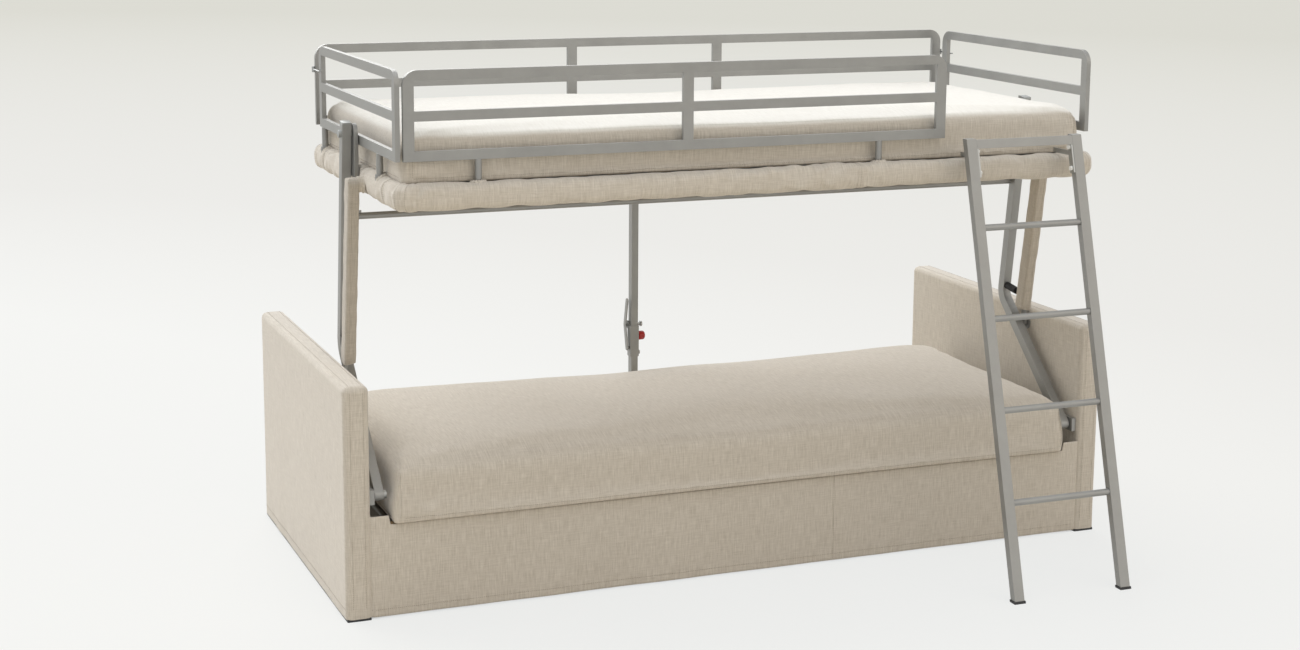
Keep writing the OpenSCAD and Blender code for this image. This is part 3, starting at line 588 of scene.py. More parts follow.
def carry(piece: Piece, body: str, slot: Slot, *nodes: str) -> Piece:
    """Puts a piece on its body and hides the nodes that it stands for."""
    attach(piece, body)
    if nodes:
        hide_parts(*nodes)
    LOG.info("%s rides on %s", piece.name, body)
    return piece


def mesh_piece(
    name: str, form: Form, material: Material, crisp_deg: float = 38
) -> Piece:
    """Turns a bmesh in the frame's metres into an object with smooth faces and crisp edges."""
    mesh = bpy.data.meshes.new(name)
    form.to_mesh(mesh)
    form.free()
    mesh.materials.clear()
    mesh.materials.append(material)
    mesh.shade_smooth()
    mesh.set_sharp_from_angle(angle=math.radians(crisp_deg))
    return placed(name, mesh)


def eased_copy(node: str, name: str, material: Material, edge_mm: float) -> Piece:
    """Copies a CAD node with its sharp edges eased, as tube and bar stock has them.

    Args:
        node: The CAD node.
        name: The new piece's name.
        material: Its finish.
        edge_mm: Width of the easing.

    Returns:
        The new piece, which has the node's form and place.
    """
    form = bmesh.new()
    form.from_mesh(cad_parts[node].data)
    bmesh.ops.remove_doubles(form, verts=form.verts, dist=2e-6)
    flat = math.radians(0.8)
    bmesh.ops.dissolve_limit(form, angle_limit=flat, verts=form.verts, edges=form.edges)
    bmesh.ops.recalc_face_normals(form, faces=form.faces)
    sharp = [e for e in form.edges if e.is_manifold and e.calc_face_angle(0) > math.radians(32)]
    bmesh.ops.bevel(
        form,
        geom=sharp,
        offset=edge_mm * MM,
        offset_type="OFFSET",
        segments=2,
        profile=0.6,
        affect="EDGES",
        clamp_overlap=True,
    )
    bmesh.ops.triangulate(form, faces=[f for f in form.faces if len(f.verts) > 4])
    piece = mesh_piece(name, form, material, 45)
    even = piece.modifiers.new("even", "WEIGHTED_NORMAL")
    even.keep_sharp = True
    even.weight = 100
    return piece


def lathe(
    profile: Sequence[tuple[float, float]],
    base: Vector,
    axis: Vector,
    turns: int,
    flute: Callable[[float, float], float],
) -> Form:
    """Turns a closed profile about an axis.

    Args:
        profile: Radius and height pairs in millimetres, from axis to axis.
        base: The axis's start, in the frame.
        axis: Its direction.
        turns: Facets round it.
        flute: What is added to the radius, from the angle and the height.

    Returns:
        The closed form.
    """
    form = bmesh.new()
    turned = axis.to_track_quat("Z", "Y").to_matrix()
    rings = []
    for radius, height in profile:
        ring = []
        pole = radius < 1e-6
        for k in range(1 if pole else turns):
            a = 2 * math.pi * k / turns
            r = radius + (0 if pole else flute(a, height))
            place = Vector((r * math.cos(a), r * math.sin(a), height))
            ring.append(form.verts.new(base + turned @ place * MM))
        rings.append(ring)
    for low, high in zip(rings, rings[1:]):
        for k in range(turns):
            n = (k + 1) % turns
            quad = low[k % len(low)], low[n % len(low)], high[n % len(high)], high[k % len(high)]
            form.faces.new(list(dict.fromkeys(quad)))
    bmesh.ops.recalc_face_normals(form, faces=form.faces)
    return form


class Topstitch:
    """Rows of lockstitch, laid along lines by one Geometry Nodes tree."""

    def __init__(self, thread: Material) -> None:
        """Builds the tree: line to points, a stitch on each, realized and given its thread."""
        self.thread = thread
        self.tree = tree = bpy.data.node_groups.new("topstitch", "GeometryNodeTree")
        face = tree.interface
        for way in ("OUTPUT", "INPUT"):
            face.new_socket("Geometry", in_out=way, socket_type="NodeSocketGeometry")
        lengths = [(name, "Float") for name in ("Pitch", "Length", "Thread")]
        self.sockets = [
            face.new_socket(name, in_out="INPUT", socket_type=f"NodeSocket{kind}").identifier
            for name, kind in (*lengths, ("Material", "Material"))
        ]
        given = add(tree, "NodeGroupInput").outputs
        line = add(tree, "GeometryNodeMeshToCurve", {"Mesh": given["Geometry"]})
        spaced = {"Curve": line, "Length": given["Pitch"]}
        places = add(tree, "GeometryNodeCurveToPoints", spaced, mode="LENGTH").outputs
        along = {"Vector": places["Tangent"]}
        half = add(tree, "Math", {0: given["Length"], 1: 0.5}, operation="MULTIPLY")
        size = {"X": given["Thread"], "Y": given["Thread"], "Z": half}
        bead = {"Segments": 6, "Rings": 4, "Radius": 1.0}
        stitch = {
            "Points": places["Points"],
            "Instance": add(tree, "GeometryNodeMeshUVSphere", bead),
            "Rotation": add(tree, "FunctionNodeAlignRotationToVector", along, axis="Z"),
            "Scale": add(tree, "CombineXYZ", size),
        }
        laid = add(tree, "GeometryNodeInstanceOnPoints", stitch)
        real = add(tree, "GeometryNodeRealizeInstances", {"Geometry": laid})
        dress = {"Geometry": real, "Material": given["Material"]}
        add(tree, "NodeGroupOutput", {"Geometry": add(tree, "GeometryNodeSetMaterial", dress)})

    def lay(
        self,
        name: str,
        rows: Sequence[Row],
        body: str,
        slot: Slot = Slot.LINEN,
        pitch_mm: float = 5.0,
        length_mm: float = 3.6,
        thread_mm: float = 0.45,
    ) -> Piece:
        """Lays stitches along rows and puts them on a body.

        Args:
            name: The piece's name.
            rows: Lines in the frame, each a list of points.
            body: The body that carries them.
            slot: The record's slot, passed on but not used.
            pitch_mm: Spacing of the stitches.
            length_mm: Length of one.
            thread_mm: Radius of the thread.

        Returns:
            The plain mesh of every stitch.
        """
        points: Row = []
        edges: list[tuple[int, int]] = []
        for row in rows:
            first = len(points)
            points += row
            edges += [(first + k, first + k + 1) for k in range(len(row) - 1)]
        mesh = bpy.data.meshes.new(name)
        mesh.from_pydata([tuple(p) for p in points], edges, [])
        piece = placed(name, mesh)
        sewing = piece.modifiers.new("sew", "NODES")
        sewing.node_group = self.tree
        values = (pitch_mm * MM, length_mm * MM, thread_mm * MM, self.thread)
        for socket, value in zip(self.sockets, values):
            sewing[socket] = value
        graph = bpy.context.evaluated_depsgraph_get()
        made = bpy.data.meshes.new_from_object(piece.evaluated_get(graph), depsgraph=graph)
        piece.modifiers.clear()
        piece.data = made
        made.name = name
        made.shade_smooth()
        return carry(piece, body, slot)


def surface_row(piece: Piece, points: Iterable[Vector], lift_mm: float = 0.35) -> Row:
    """Drops points on a piece's evaluated skin, lifted by a little, for a row of stitches."""
    skin = piece.evaluated_get(bpy.context.evaluated_depsgraph_get())
    hits = (skin.closest_point_on_mesh(p) for p in points)
    return [near + normal * lift_mm * MM for found, near, normal, _ in hits if found]


def line_mm(a: Point, b: Point, step: float = 12) -> Row:
    """Points of the frame from drawing point a to b, a step of millimetres apart."""
    start, end = Vector(a), Vector(b)
    count = max(2, round((end - start).length / step))
    return [spot(*(start.lerp(end, k / count))) for k in range(count + 1)]


# Sub-assemblies


@dataclass
class Arm:
    """One arm: a board under a slip cover with a sewn band over its front, top and rear."""

    side: Side
    wardrobe: Wardrobe
    stitch: Topstitch
    inner: float = 1000.0
    outer: float = 1065.0
    depth: float = 964.0
    foot: float = 6.0
    top: float = 588.0
    radius: float = 16.0
    seam_inset: float = 11.0
    seam_depth: float = 1.3
    edge: float = 13.0
    hem: float = 30.0
    free_below: float = 220.0

    def build(self) -> None:
        """Makes the cover and its stitches, and the board inside."""
        lo = (self.inner + 0.5, 0.5, self.foot)
        hi = (self.outer - 0.5, self.depth - 0.5, self.top - 0.5)
        seams = (lo[0] + self.seam_inset, hi[0] - self.seam_inset)
        xs = graded(lo[0], hi[0], 14, seams)
        ys = graded(lo[1], hi[1], 15, (lo[1] + self.edge, hi[1] - self.edge))
        zs = graded(lo[2], hi[2], 15, (self.foot + 22, hi[2] - self.edge))
        points, faces, cut = grid_box(xs, ys, zs)
        front, rear = (gap_to(points, 1, (y,)) < SKIN for y in (lo[1], hi[1]))
        above = gap_to(points, 2, (hi[2],)) < SKIN
        band = front | rear | above
        near = gap_to(points, 0, seams)
        groove = bell(near, 1.7) * self.seam_depth
        shaped = round_off(points, (lo[0], lo[1], lo[2] - 40), hi, self.radius)
        shaped[:, 1] += np.where(front, groove, np.where(rear, -groove, 0))
        shaped[:, 2] -= np.where(above, groove, 0)
        # the cloth hangs a little free of the board towards the hem
        free = (self.free_below - shaped[:, 2]) / (self.free_below - self.foot)
        free = np.clip(free, 0, 1) ** 1.5
        wave = ripple(shaped * np.array([0.4, 1, 0.25]), 85, 3.0 + self.side.value)
        outward = np.where(shaped[:, 0] > (lo[0] + hi[0]) / 2, 1, -1)
        flank = gap_to(points, 0, (lo[0], hi[0])) < SKIN
        shaped[:, 0] += np.where(flank, outward * (0.3 + free * (1.2 + 1.6 * wave)), 0)
        at_foot = gap_to(points, 2, (lo[2],)) < SKIN
        shaped[:, 2] += np.where(at_foot, ripple(shaped, 120, 9.0), 0)
        shaped[:, 2] = np.maximum(shaped[:, 2], 4.2)
        if self.side is Side.LEFT:
            faces, cut = turned_over(faces, cut)
        name = f"arm_slip_cover_{self.side.word}"
        mirrored = shaped * np.array([self.side.value, 1, 1])
        cover = cloth_piece(name, mirrored, faces, cut, self.wardrobe.linen)
        held = (((near < 2.5) & band) | (shaped[:, 2] < 40)).astype(float)
        Settling(pressure=0.8, slack=0.004, cap_mm=2.5, frames=14).run(cover, held)
        smooth_once(cover)
        rows = [self.row(cover, x) for x in (seams[0] + 4.5, seams[1] - 4.5)]
        for x in (self.side.value * (self.inner - 2), self.side.value * (self.outer + 2)):
            rows.append(
                surface_row(cover, line_mm((x, 14, self.hem), (x, self.depth - 14, self.hem)))
            )
        carry(cover, "base", Slot.LINEN, f"arm_cover_{self.side.word}")
        self.stitch.lay(f"arm_topstitch_{self.side.word}", rows, "base")
        self.board()

    def board(self) -> None:
        """Makes the board with rounded edges, so that it lies inside its cover."""
        name = f"arm_board_{self.side.word}"
        low, high = node_box(name)
        inset = self.radius * 0.8
        grids = (graded(a, b, 24, (a + inset, b - inset)) for a, b in zip(low, high))
        points, faces, cut = grid_box(*grids)
        shaped = round_off(points, (low[0], low[1], low[2] - 40), tuple(high), self.radius - 2)
        shaped[:, 2] = np.maximum(shaped[:, 2], low[2])
        board = cloth_piece(f"{name}_rounded", shaped, faces, cut, self.wardrobe.board)
        carry(board, "base", Slot.TIMBER, name)

    def row(self, cover: Piece, x: float) -> Row:
        """A row of stitches up the front, along the top and down the rear."""
        x *= self.side.value
        return surface_row(
            cover,
            line_mm((x, -2, 34), (x, -2, self.top - 16))
            + line_mm((x, 14, self.top + 2), (x, self.depth - 14, self.top + 2))
            + line_mm((x, self.depth + 2, self.top - 16), (x, self.depth + 2, 34)),
        )


@dataclass
class GlideAndShadeStrips:
    """The black strips on which the arms stand, running their whole length: partly real glides,
    partly a dark sheet painted in for the shade in the gap below the covers.
    """

    wardrobe: Wardrobe
    inner: float = 1003.0
    outer: float = 1063.0
    front: float = 3.0
    rear: float = 961.0
    height: float = 6.5
    radius: float = 2.0

    def build(self) -> None:
        """Makes both strips as one piece."""
        form = bmesh.new()
        for side in Side:
            low, high = sorted((side.value * self.inner, side.value * self.outer))
            xs, ys = graded(low, high, 12), graded(self.front, self.rear, 40)
            points, faces, _ = grid_box(xs, ys, [0, 2.5, self.height])
            lo, hi = (low, self.front, -4), (high, self.rear, self.height)
            corners = [form.verts.new(spot(*p)) for p in round_off(points, lo, hi, self.radius)]
            for face in faces:
                form.faces.new([corners[k] for k in face])
        # partly painted shade: black along the whole foot, where much of the dark line is the
        # gap's shade
        strips = mesh_piece("arm_glide_and_shade_strips", form, self.wardrobe.black_plastic)
        carry(strips, "base", Slot.BLACK_PLASTIC, "arm_glides")


@dataclass
class Mattress:
    """A foam mattress in a fitted cover with sewn corners and a hem along its foot.

    bed is half the width, the front, the rear and the height of the slats that bear it.
    """

    name: str
    node: str
    body: str
    lo: Point
    hi: Point
    crown: float
    radius: float
    slot: Slot
    cloth: Material
    stitch: Topstitch
    settling: Settling
    foot: tuple[float, float] = (13.0, 7.0)
    step: float = 16.0
    corner_inset: float = 20.0
    corner_depth: float = 2.6
    seed: float = 2.0
    bed: tuple[float, float, float, float] | None = None
    rear_fullness: float = 5.0

    def build(self) -> None:
        """Makes the cover, settles it over its foam and sews its corners and hem."""
        lo, hi = self.lo, self.hi
        hem = lo[2] + 12
        ends = (lo[0] + self.corner_inset, hi[0] - self.corner_inset)
        slats = self.bed or (0, 0, 0, 0)
        xs = graded(lo[0], hi[0], self.step, (*ends, -slats[0], slats[0]), 3)
        ys = graded(lo[1], hi[1], self.step, slats[1:3] if self.bed else (), 4)
        zs = graded(lo[2], hi[2], 13, (hem,), 3)
        points, faces, cut = grid_box(xs, ys, zs)
        shaped = round_off(points, lo, hi, self.radius, self.foot)
        # the lower edge is tighter than the rest
        low = np.clip((shaped[:, 2] - lo[2]) / self.foot[1], 0, 1)
        shaped[:, 2] = np.where(low < 1, lo[2] + self.foot[1] * low**2, shaped[:, 2])
        # painted highlight: the share of paler cloth rises over the top's rounded edge, where the
        # light falls strongest
        lit = np.clip((shaped[:, 2] - hi[2] + self.radius * 0.42) / (self.radius * 0.38), 0, 1)
        half = np.array([(hi[0] - lo[0]) / 2, (hi[1] - lo[1]) / 2])
        middle = np.array([(hi[0] + lo[0]) / 2, (hi[1] + lo[1]) / 2])
        share = (shaped[:, :2] - middle) / half
        # fullest from the middle to the rear edge, where nobody's knees wear it down
        along = np.abs(share[:, 1]) ** np.where(share[:, 1] < 0, 4, self.rear_fullness)
        dome = (1 - np.abs(share[:, 0]) ** self.rear_fullness) * (1 - along)
        rise = np.clip((shaped[:, 2] - lo[2]) / (hi[2] - lo[2]), 0, 1)
        shaped[:, 2] += self.crown * np.clip(dome, 0, 1) * rise**2
        shaped[:, 2] += 3.0 * ripple(shaped, 260, self.seed) * rise
        # the sides draw in between the corners and swell between top and foot
        belly = 4 * rise * (1 - rise)
        draw = 3.0 * (1 - share**2)
        for a, other in ((0, 1), (1, 0)):
            edge, sign = np.abs(share[:, a]) > 0.96, np.sign(share[:, a])
            shaped[:, a] -= np.where(edge, sign * draw[:, other], 0)
            shaped[:, a] += np.where(edge, sign * 2.5 * belly, 0)
        # corner seams on the front and rear sides, deepest where they turn in at the top
        near = gap_to(points, 0, ends)
        side = gap_to(points, 1, (lo[1], hi[1])) < SKIN
        groove = np.where(side & (rise > 0.15), bell(near, 2.2), 0)
        groove *= 1 + 1.1 * bell(shaped[:, 2] - hi[2] + self.radius, 16)
        shaped[:, 1] += np.sign(middle[1] - points[:, 1]) * groove * self.corner_depth
        # the hem at the foot turns under in soft waves
        foot = gap_to(points, 2, (lo[2],)) < SKIN
        wave = ripple(shaped, 90, self.seed + 4)
        shaped[:, 2] = np.maximum(shaped[:, 2], lo[2])
        if self.bed:
            # the edge hangs past the slats, which bear the middle
            half_x, front, rear, bed_z = self.bed
            borne = (np.abs(shaped[:, 0]) < half_x) & (shaped[:, 1] > front)
            borne &= shaped[:, 1] < rear
            shaped[:, 2] = np.where(borne, np.maximum(shaped[:, 2], bed_z), shaped[:, 2])
        rim = (rise < 0.12) & ~foot & (np.abs(share[:, 1]) > 0.9)
        shaped[:, 1] += np.where(rim, np.sign(share[:, 1]) * 1.4 * wave, 0)
        cover = cloth_piece(self.name, shaped, faces, cut, self.cloth)
        # painted highlight: the share is kept on the cover, for the cloth's paler pair of colours
        painted_light = cover.data.attributes.new("painted_light", "FLOAT", "POINT")
        painted_light.data.foreach_set("value", (lit * lit * (3 - 2 * lit)).astype(np.float32))
        held = np.where(foot | (side & (near < 2.6)), 1.0, np.where(rise < 0.1, 0.9, 0.0))
        self.settling.run(cover, held)
        smooth_once(cover)
        carry(cover, self.body, self.slot, self.node)
        sides = [
            ((x + 3.5, y, hem + 4), (x + 3.5, y, hi[2] - 20), 8)
            for y in (lo[1] - 6, hi[1] + 6)
            for x in ends
        ]
        sides += [
            ((lo[0] + 30, lo[1] - 6, hem), (hi[0] - 30, lo[1] - 6, hem), 12),
            ((hi[0] + 6, lo[1] + 30, hem), (hi[0] + 6, hi[1] - 30, hem), 12),
            ((hi[0] - 30, hi[1] + 6, hem), (lo[0] + 30, hi[1] + 6, hem), 12),
            ((lo[0] - 6, hi[1] - 30, hem), (lo[0] - 6, lo[1] + 30, hem), 12),
        ]
        rows = [surface_row(cover, line_mm(*run), 0.2) for run in sides]
        self.stitch.lay(f"{self.name}_stitches", rows, self.body, self.slot)


@dataclass
class Skirt:
    """The linen panel in front of the base, hung from its top edge, with a hem."""

    wardrobe: Wardrobe
    stitch: Topstitch
    half: float = 1008.0
    lift: float = 5.0
    top: float = 238.0
    ear: float = 261.0
    ear_from: float = 953.0
    ear_width: float = 45.0
    face: float = 3.0
    thick: float = 3.0
    seam: float = 247.0
    levels: int = 18

    def build(self) -> None:
        """Makes the panel with its front and back skins and sews hem and seam."""
        fine = (self.seam, -self.ear_from, self.ear_from, -1000, 1000)
        columns = graded(-self.half, self.half, 15, fine, 2.5)
        shares = [k / self.levels for k in range(self.levels + 1)]
        grid, faces, _ = grid_box(columns, [self.face, self.face + self.thick], shares)
        top = np.where(np.abs(grid[:, 0]) > self.ear_from + 2, self.ear, self.top)
        grid[:, 2] = self.lift + (top - self.lift) * grid[:, 2]
        sway = ripple(grid * np.array([1, 0, 0.22]), 120, 5.0) * 2.0
        grid[:, 1] += sway * (1 - (grid[:, 2] - self.lift) / (self.ear - self.lift))
        grid[:, 1] += 1.4 * bell(np.abs(grid[:, 0] - self.seam), 2.2)
        # the ends tuck in behind the arms' rounding
        grid[:, 1] += 3.6 * np.clip((np.abs(grid[:, 0]) - 998) / 5, 0, 1)
        grid[:, 1] = np.clip(grid[:, 1], 0.2, 9.8)
        cut = [(grid[n][0] * MM, grid[n][2] * MM) for face in faces for n in face]
        panel = cloth_piece("front_skirt_panel", grid, faces, cut, self.wardrobe.linen)
        smooth_once(panel)
        carry(panel, "base", Slot.LINEN, "front_skirt")
        hem = surface_row(panel, line_mm((-self.half + 4, 0, 24), (self.half - 4, 0, 24)))
        join = surface_row(panel, line_mm((self.seam + 4, 0, 12), (self.seam + 4, 0, 234)))
        self.stitch.lay("front_skirt_stitches", [hem, join], "base")


@dataclass
class PaddedRoll:
    """The padded tube of linen round the bunk's frame, gathered at corners, plates and seams."""

    wardrobe: Wardrobe
    stitch: Topstitch
    half: float = 955.0
    front: float = -100.0
    rear: float = 765.0
    foot: float = 1013.0
    top: float = 1083.0
    width: float = 60.0
    corner: float = 33.0
    plate_y: float = 301.0
    section: int = 28

    def lines(self) -> tuple[float, float, float]:
        """The middle line's half length, front and rear."""
        inset = self.width / 2
        return self.half - inset, self.front + inset, self.rear - inset

    def path(self) -> list[tuple[float, float, float, float]]:
        """The middle line, anticlockwise from above: X, Y and the outward direction."""
        x1, y0, y1 = self.lines()
        r = self.corner
        found = []
        sides = (
            ((-x1 + r, y0), (x1 - r, y0), -90.0),
            ((x1, y0 + r), (x1, y1 - r), 0.0),
            ((x1 - r, y1), (-x1 + r, y1), 90.0),
            ((-x1, y1 - r), (-x1, y0 + r), 180.0),
        )
        for a, b, facing in sides:
            count = round(math.hypot(b[0] - a[0], b[1] - a[1]) / 11)
            out = (math.cos(math.radians(facing)), math.sin(math.radians(facing)))
            for k in range(count + 1):
                t = k / count
                found.append((a[0] + (b[0] - a[0]) * t, a[1] + (b[1] - a[1]) * t, *out))
            centre = (b[0] - out[0] * r, b[1] - out[1] * r)
            for k in range(1, 12):
                part = math.radians(90 * k / 12)
                turn = math.radians(facing) + part
                square = (math.cos(part) ** 6 + math.sin(part) ** 6) ** (-1 / 6)
                out_k = (math.cos(turn) * square, math.sin(turn) * square)
                found.append((centre[0] + out_k[0] * r, centre[1] + out_k[1] * r, *out_k))
        return found

    def build(self) -> Piece:
        """Makes the roll as one closed ring and settles it.

        Returns:
            The roll, for the collars that lie on it.
        """
        path = self.path()
        n, m = len(path), self.section
        points = np.zeros((n, m, 3))
        half_w, half_h = self.width / 2 - 2.0, (self.top - self.foot) / 2 - 2.0
        middle_z = (self.top + self.foot) / 2
        along = [0.0]
        for p, q in zip(path, path[1:] + path[:1]):
            along.append(along[-1] + math.hypot(q[0] - p[0], q[1] - p[1]))
        gathers = self.gathers(path, along)

        def apart(i: int, place: float) -> float:
            """The way along the ring from one of its points to a place."""
            d = abs(along[i] - place)
            return min(d, along[-1] - d)

        for i, (x, y, nx, ny) in enumerate(path):
            pinch = sum(depth * bell(apart(i, place), width) for place, width, depth in gathers)
            pucker = sum(
                depth * bell(apart(i, place), width * 4) for place, width, depth in gathers
            )
            beside = abs(x) > self.half - self.width
            plate = math.exp(-(((y - self.plate_y) / 30) ** 4)) if beside else 0.0
            for k in range(m):
                a = 2 * math.pi * k / m
                c, s = math.cos(a), math.sin(a)
                fold = 0.28 * pucker * math.cos(a * 9 + along[i] * 0.02)
                swell = noise.noise(Vector((along[i] / 70, a * 1.3, 4.0))) * 1.5
                scale = 1 - (pinch + fold - swell) / half_h
                out = math.copysign(abs(c) ** 0.72, c) * half_w * scale
                up = math.copysign(abs(s) ** 0.72, s) * half_h * scale
                if c > 0 and s > -0.2:
                    out -= plate * max(0.0, out - 16.5)
                points[i, k] = (x + nx * out, y + ny * out, middle_z + up)
        faces, cut = [], []
        around = 2 * (half_w + half_h) * 1.65 * MM
        for i, k in product(range(n), range(m)):
            j, l = (i + 1) % n, (k + 1) % m
            faces.append([i * m + k, j * m + k, j * m + l, i * m + l])
            u0, u1 = along[i] * MM, along[i + 1] * MM
            v0, v1 = around * k / m, around * (k + 1) / m
            cut += [(u0, v0), (u1, v0), (u1, v1), (u0, v1)]
        linen = self.wardrobe.linen
        roll = cloth_piece("bunk_padded_roll", points.reshape(-1, 3), faces, cut, linen)
        face_outwards(roll)
        held = np.zeros((n, m))
        held[:, [k for k in range(m) if abs(k - m / 2) <= 1]] = 1.0
        for i, (x, y, _, _) in enumerate(path):
            by_plate = abs(x) > self.half - self.width and abs(y - self.plate_y) < 38
            if by_plate or any(apart(i, place) < 7 for place, _, _ in gathers):
                held[i, :] = 1.0
        Settling(pressure=5.0, slack=0.03, cap_mm=3.5, bending=0.2).run(roll, held.ravel())
        smooth_once(roll)
        nodes = ("roll_front", "roll_rear", "roll_left", "roll_right")
        carry(roll, "bunk", Slot.LINEN, *nodes)
        rows = []
        for (place, _, _), shift in product(gathers, (-4.5, 4.5)):
            i = min(range(n), key=lambda t: abs(along[t] - place - shift))
            x, y, nx, ny = path[i]
            ring = []
            for a in (2 * math.pi * k / 40 for k in range(-9, 20)):
                out, up = (half_w + 4) * math.cos(a), (half_h + 4) * math.sin(a)
                place_x, place_y = x - ny * shift + nx * out, y + nx * shift + ny * out
                ring.append(spot(place_x, place_y, middle_z + up))
            rows.append(surface_row(roll, ring))
        self.stitch.lay("bunk_roll_stitches", rows, "bunk")
        return roll

    def gathers(self, path: list, along: list[float]) -> list[Point]:
        """Seams round the roll: place along it, width and depth in millimetres."""

        def nearest(x: float, y: float) -> float:
            i = min(range(len(path)), key=lambda t: (path[t][0] - x) ** 2 + (path[t][1] - y) ** 2)
            return along[i]

        x1, y0, y1 = self.lines()
        found = [(nearest(255, y0), 5.0, 1.6), (nearest(-255, y1), 5.0, 1.6)]
        for s in (-1, 1):
            found.append((nearest(s * x1, y0 + 95), 5.0, 5.0))
            found.append((nearest(s * x1, y1 - 95), 5.0, 4.0))
            found.append((nearest(s * x1, y0), 2.6, 2.6))
            found.append((nearest(s * x1, y1), 2.6, 2.6))
            for shift in (-42, 42):
                found.append((nearest(s * x1, self.plate_y + shift), 8.0, 4.2))
        return found


@dataclass
class BackPanel:
    """The padded linen panel below the bunk's slats, the backrest of the folded sofa."""

    wardrobe: Wardrobe
    stitch: Topstitch
    radius: float = 8.0
    crown: float = 11.0
    tuck: float = 5.0
    seams: tuple[float, float] = (-310.0, 310.0)
    below: float = 980.0  # a height under the panel, from which its stitches are laid

    def build(self) -> None:
        """Makes the panel, full between its two sewn channels, and its stitches."""
        low, high = node_box("back_panel")
        for axis in (0, 1):
            low[axis] -= self.tuck
            high[axis] += self.tuck
        xs = graded(low[0], high[0], 17, self.seams, 4)
        points, faces, cut = grid_box(
            xs, graded(low[1], high[1], 17), graded(low[2], high[2], 6)
        )
        shaped = round_off(points, low, high, self.radius)
        middle = (np.array(low) + np.array(high)) / 2
        share = np.abs((shaped - middle) / (np.array(high) - middle))
        dome = (1 - share[:, 0] ** 16) * (1 - share[:, 1] ** 8)
        channel = 1 - 0.75 * bell(gap_to(points, 0, self.seams), 9)
        down = np.clip((high[2] - shaped[:, 2]) / (high[2] - low[2]), 0, 1) ** 2
        shaped[:, 2] -= self.crown * np.clip(dome, 0, 1) * channel * down
        shaped[:, 2] += 1.2 * ripple(shaped, 210, 11.0) * down
        panel = cloth_piece("back_panel_padded", shaped, faces, cut, self.wardrobe.linen)
        smooth_once(panel)
        carry(panel, "bunk", Slot.LINEN, "back_panel")
        rows = []
        for x in (seam + shift for seam in self.seams for shift in (-5, 5)):
            run = line_mm((x, low[1] + 20, self.below), (x, high[1] - 20, self.below))
            rows.append(surface_row(panel, run))
        self.stitch.lay("back_panel_stitches", rows, "bunk")


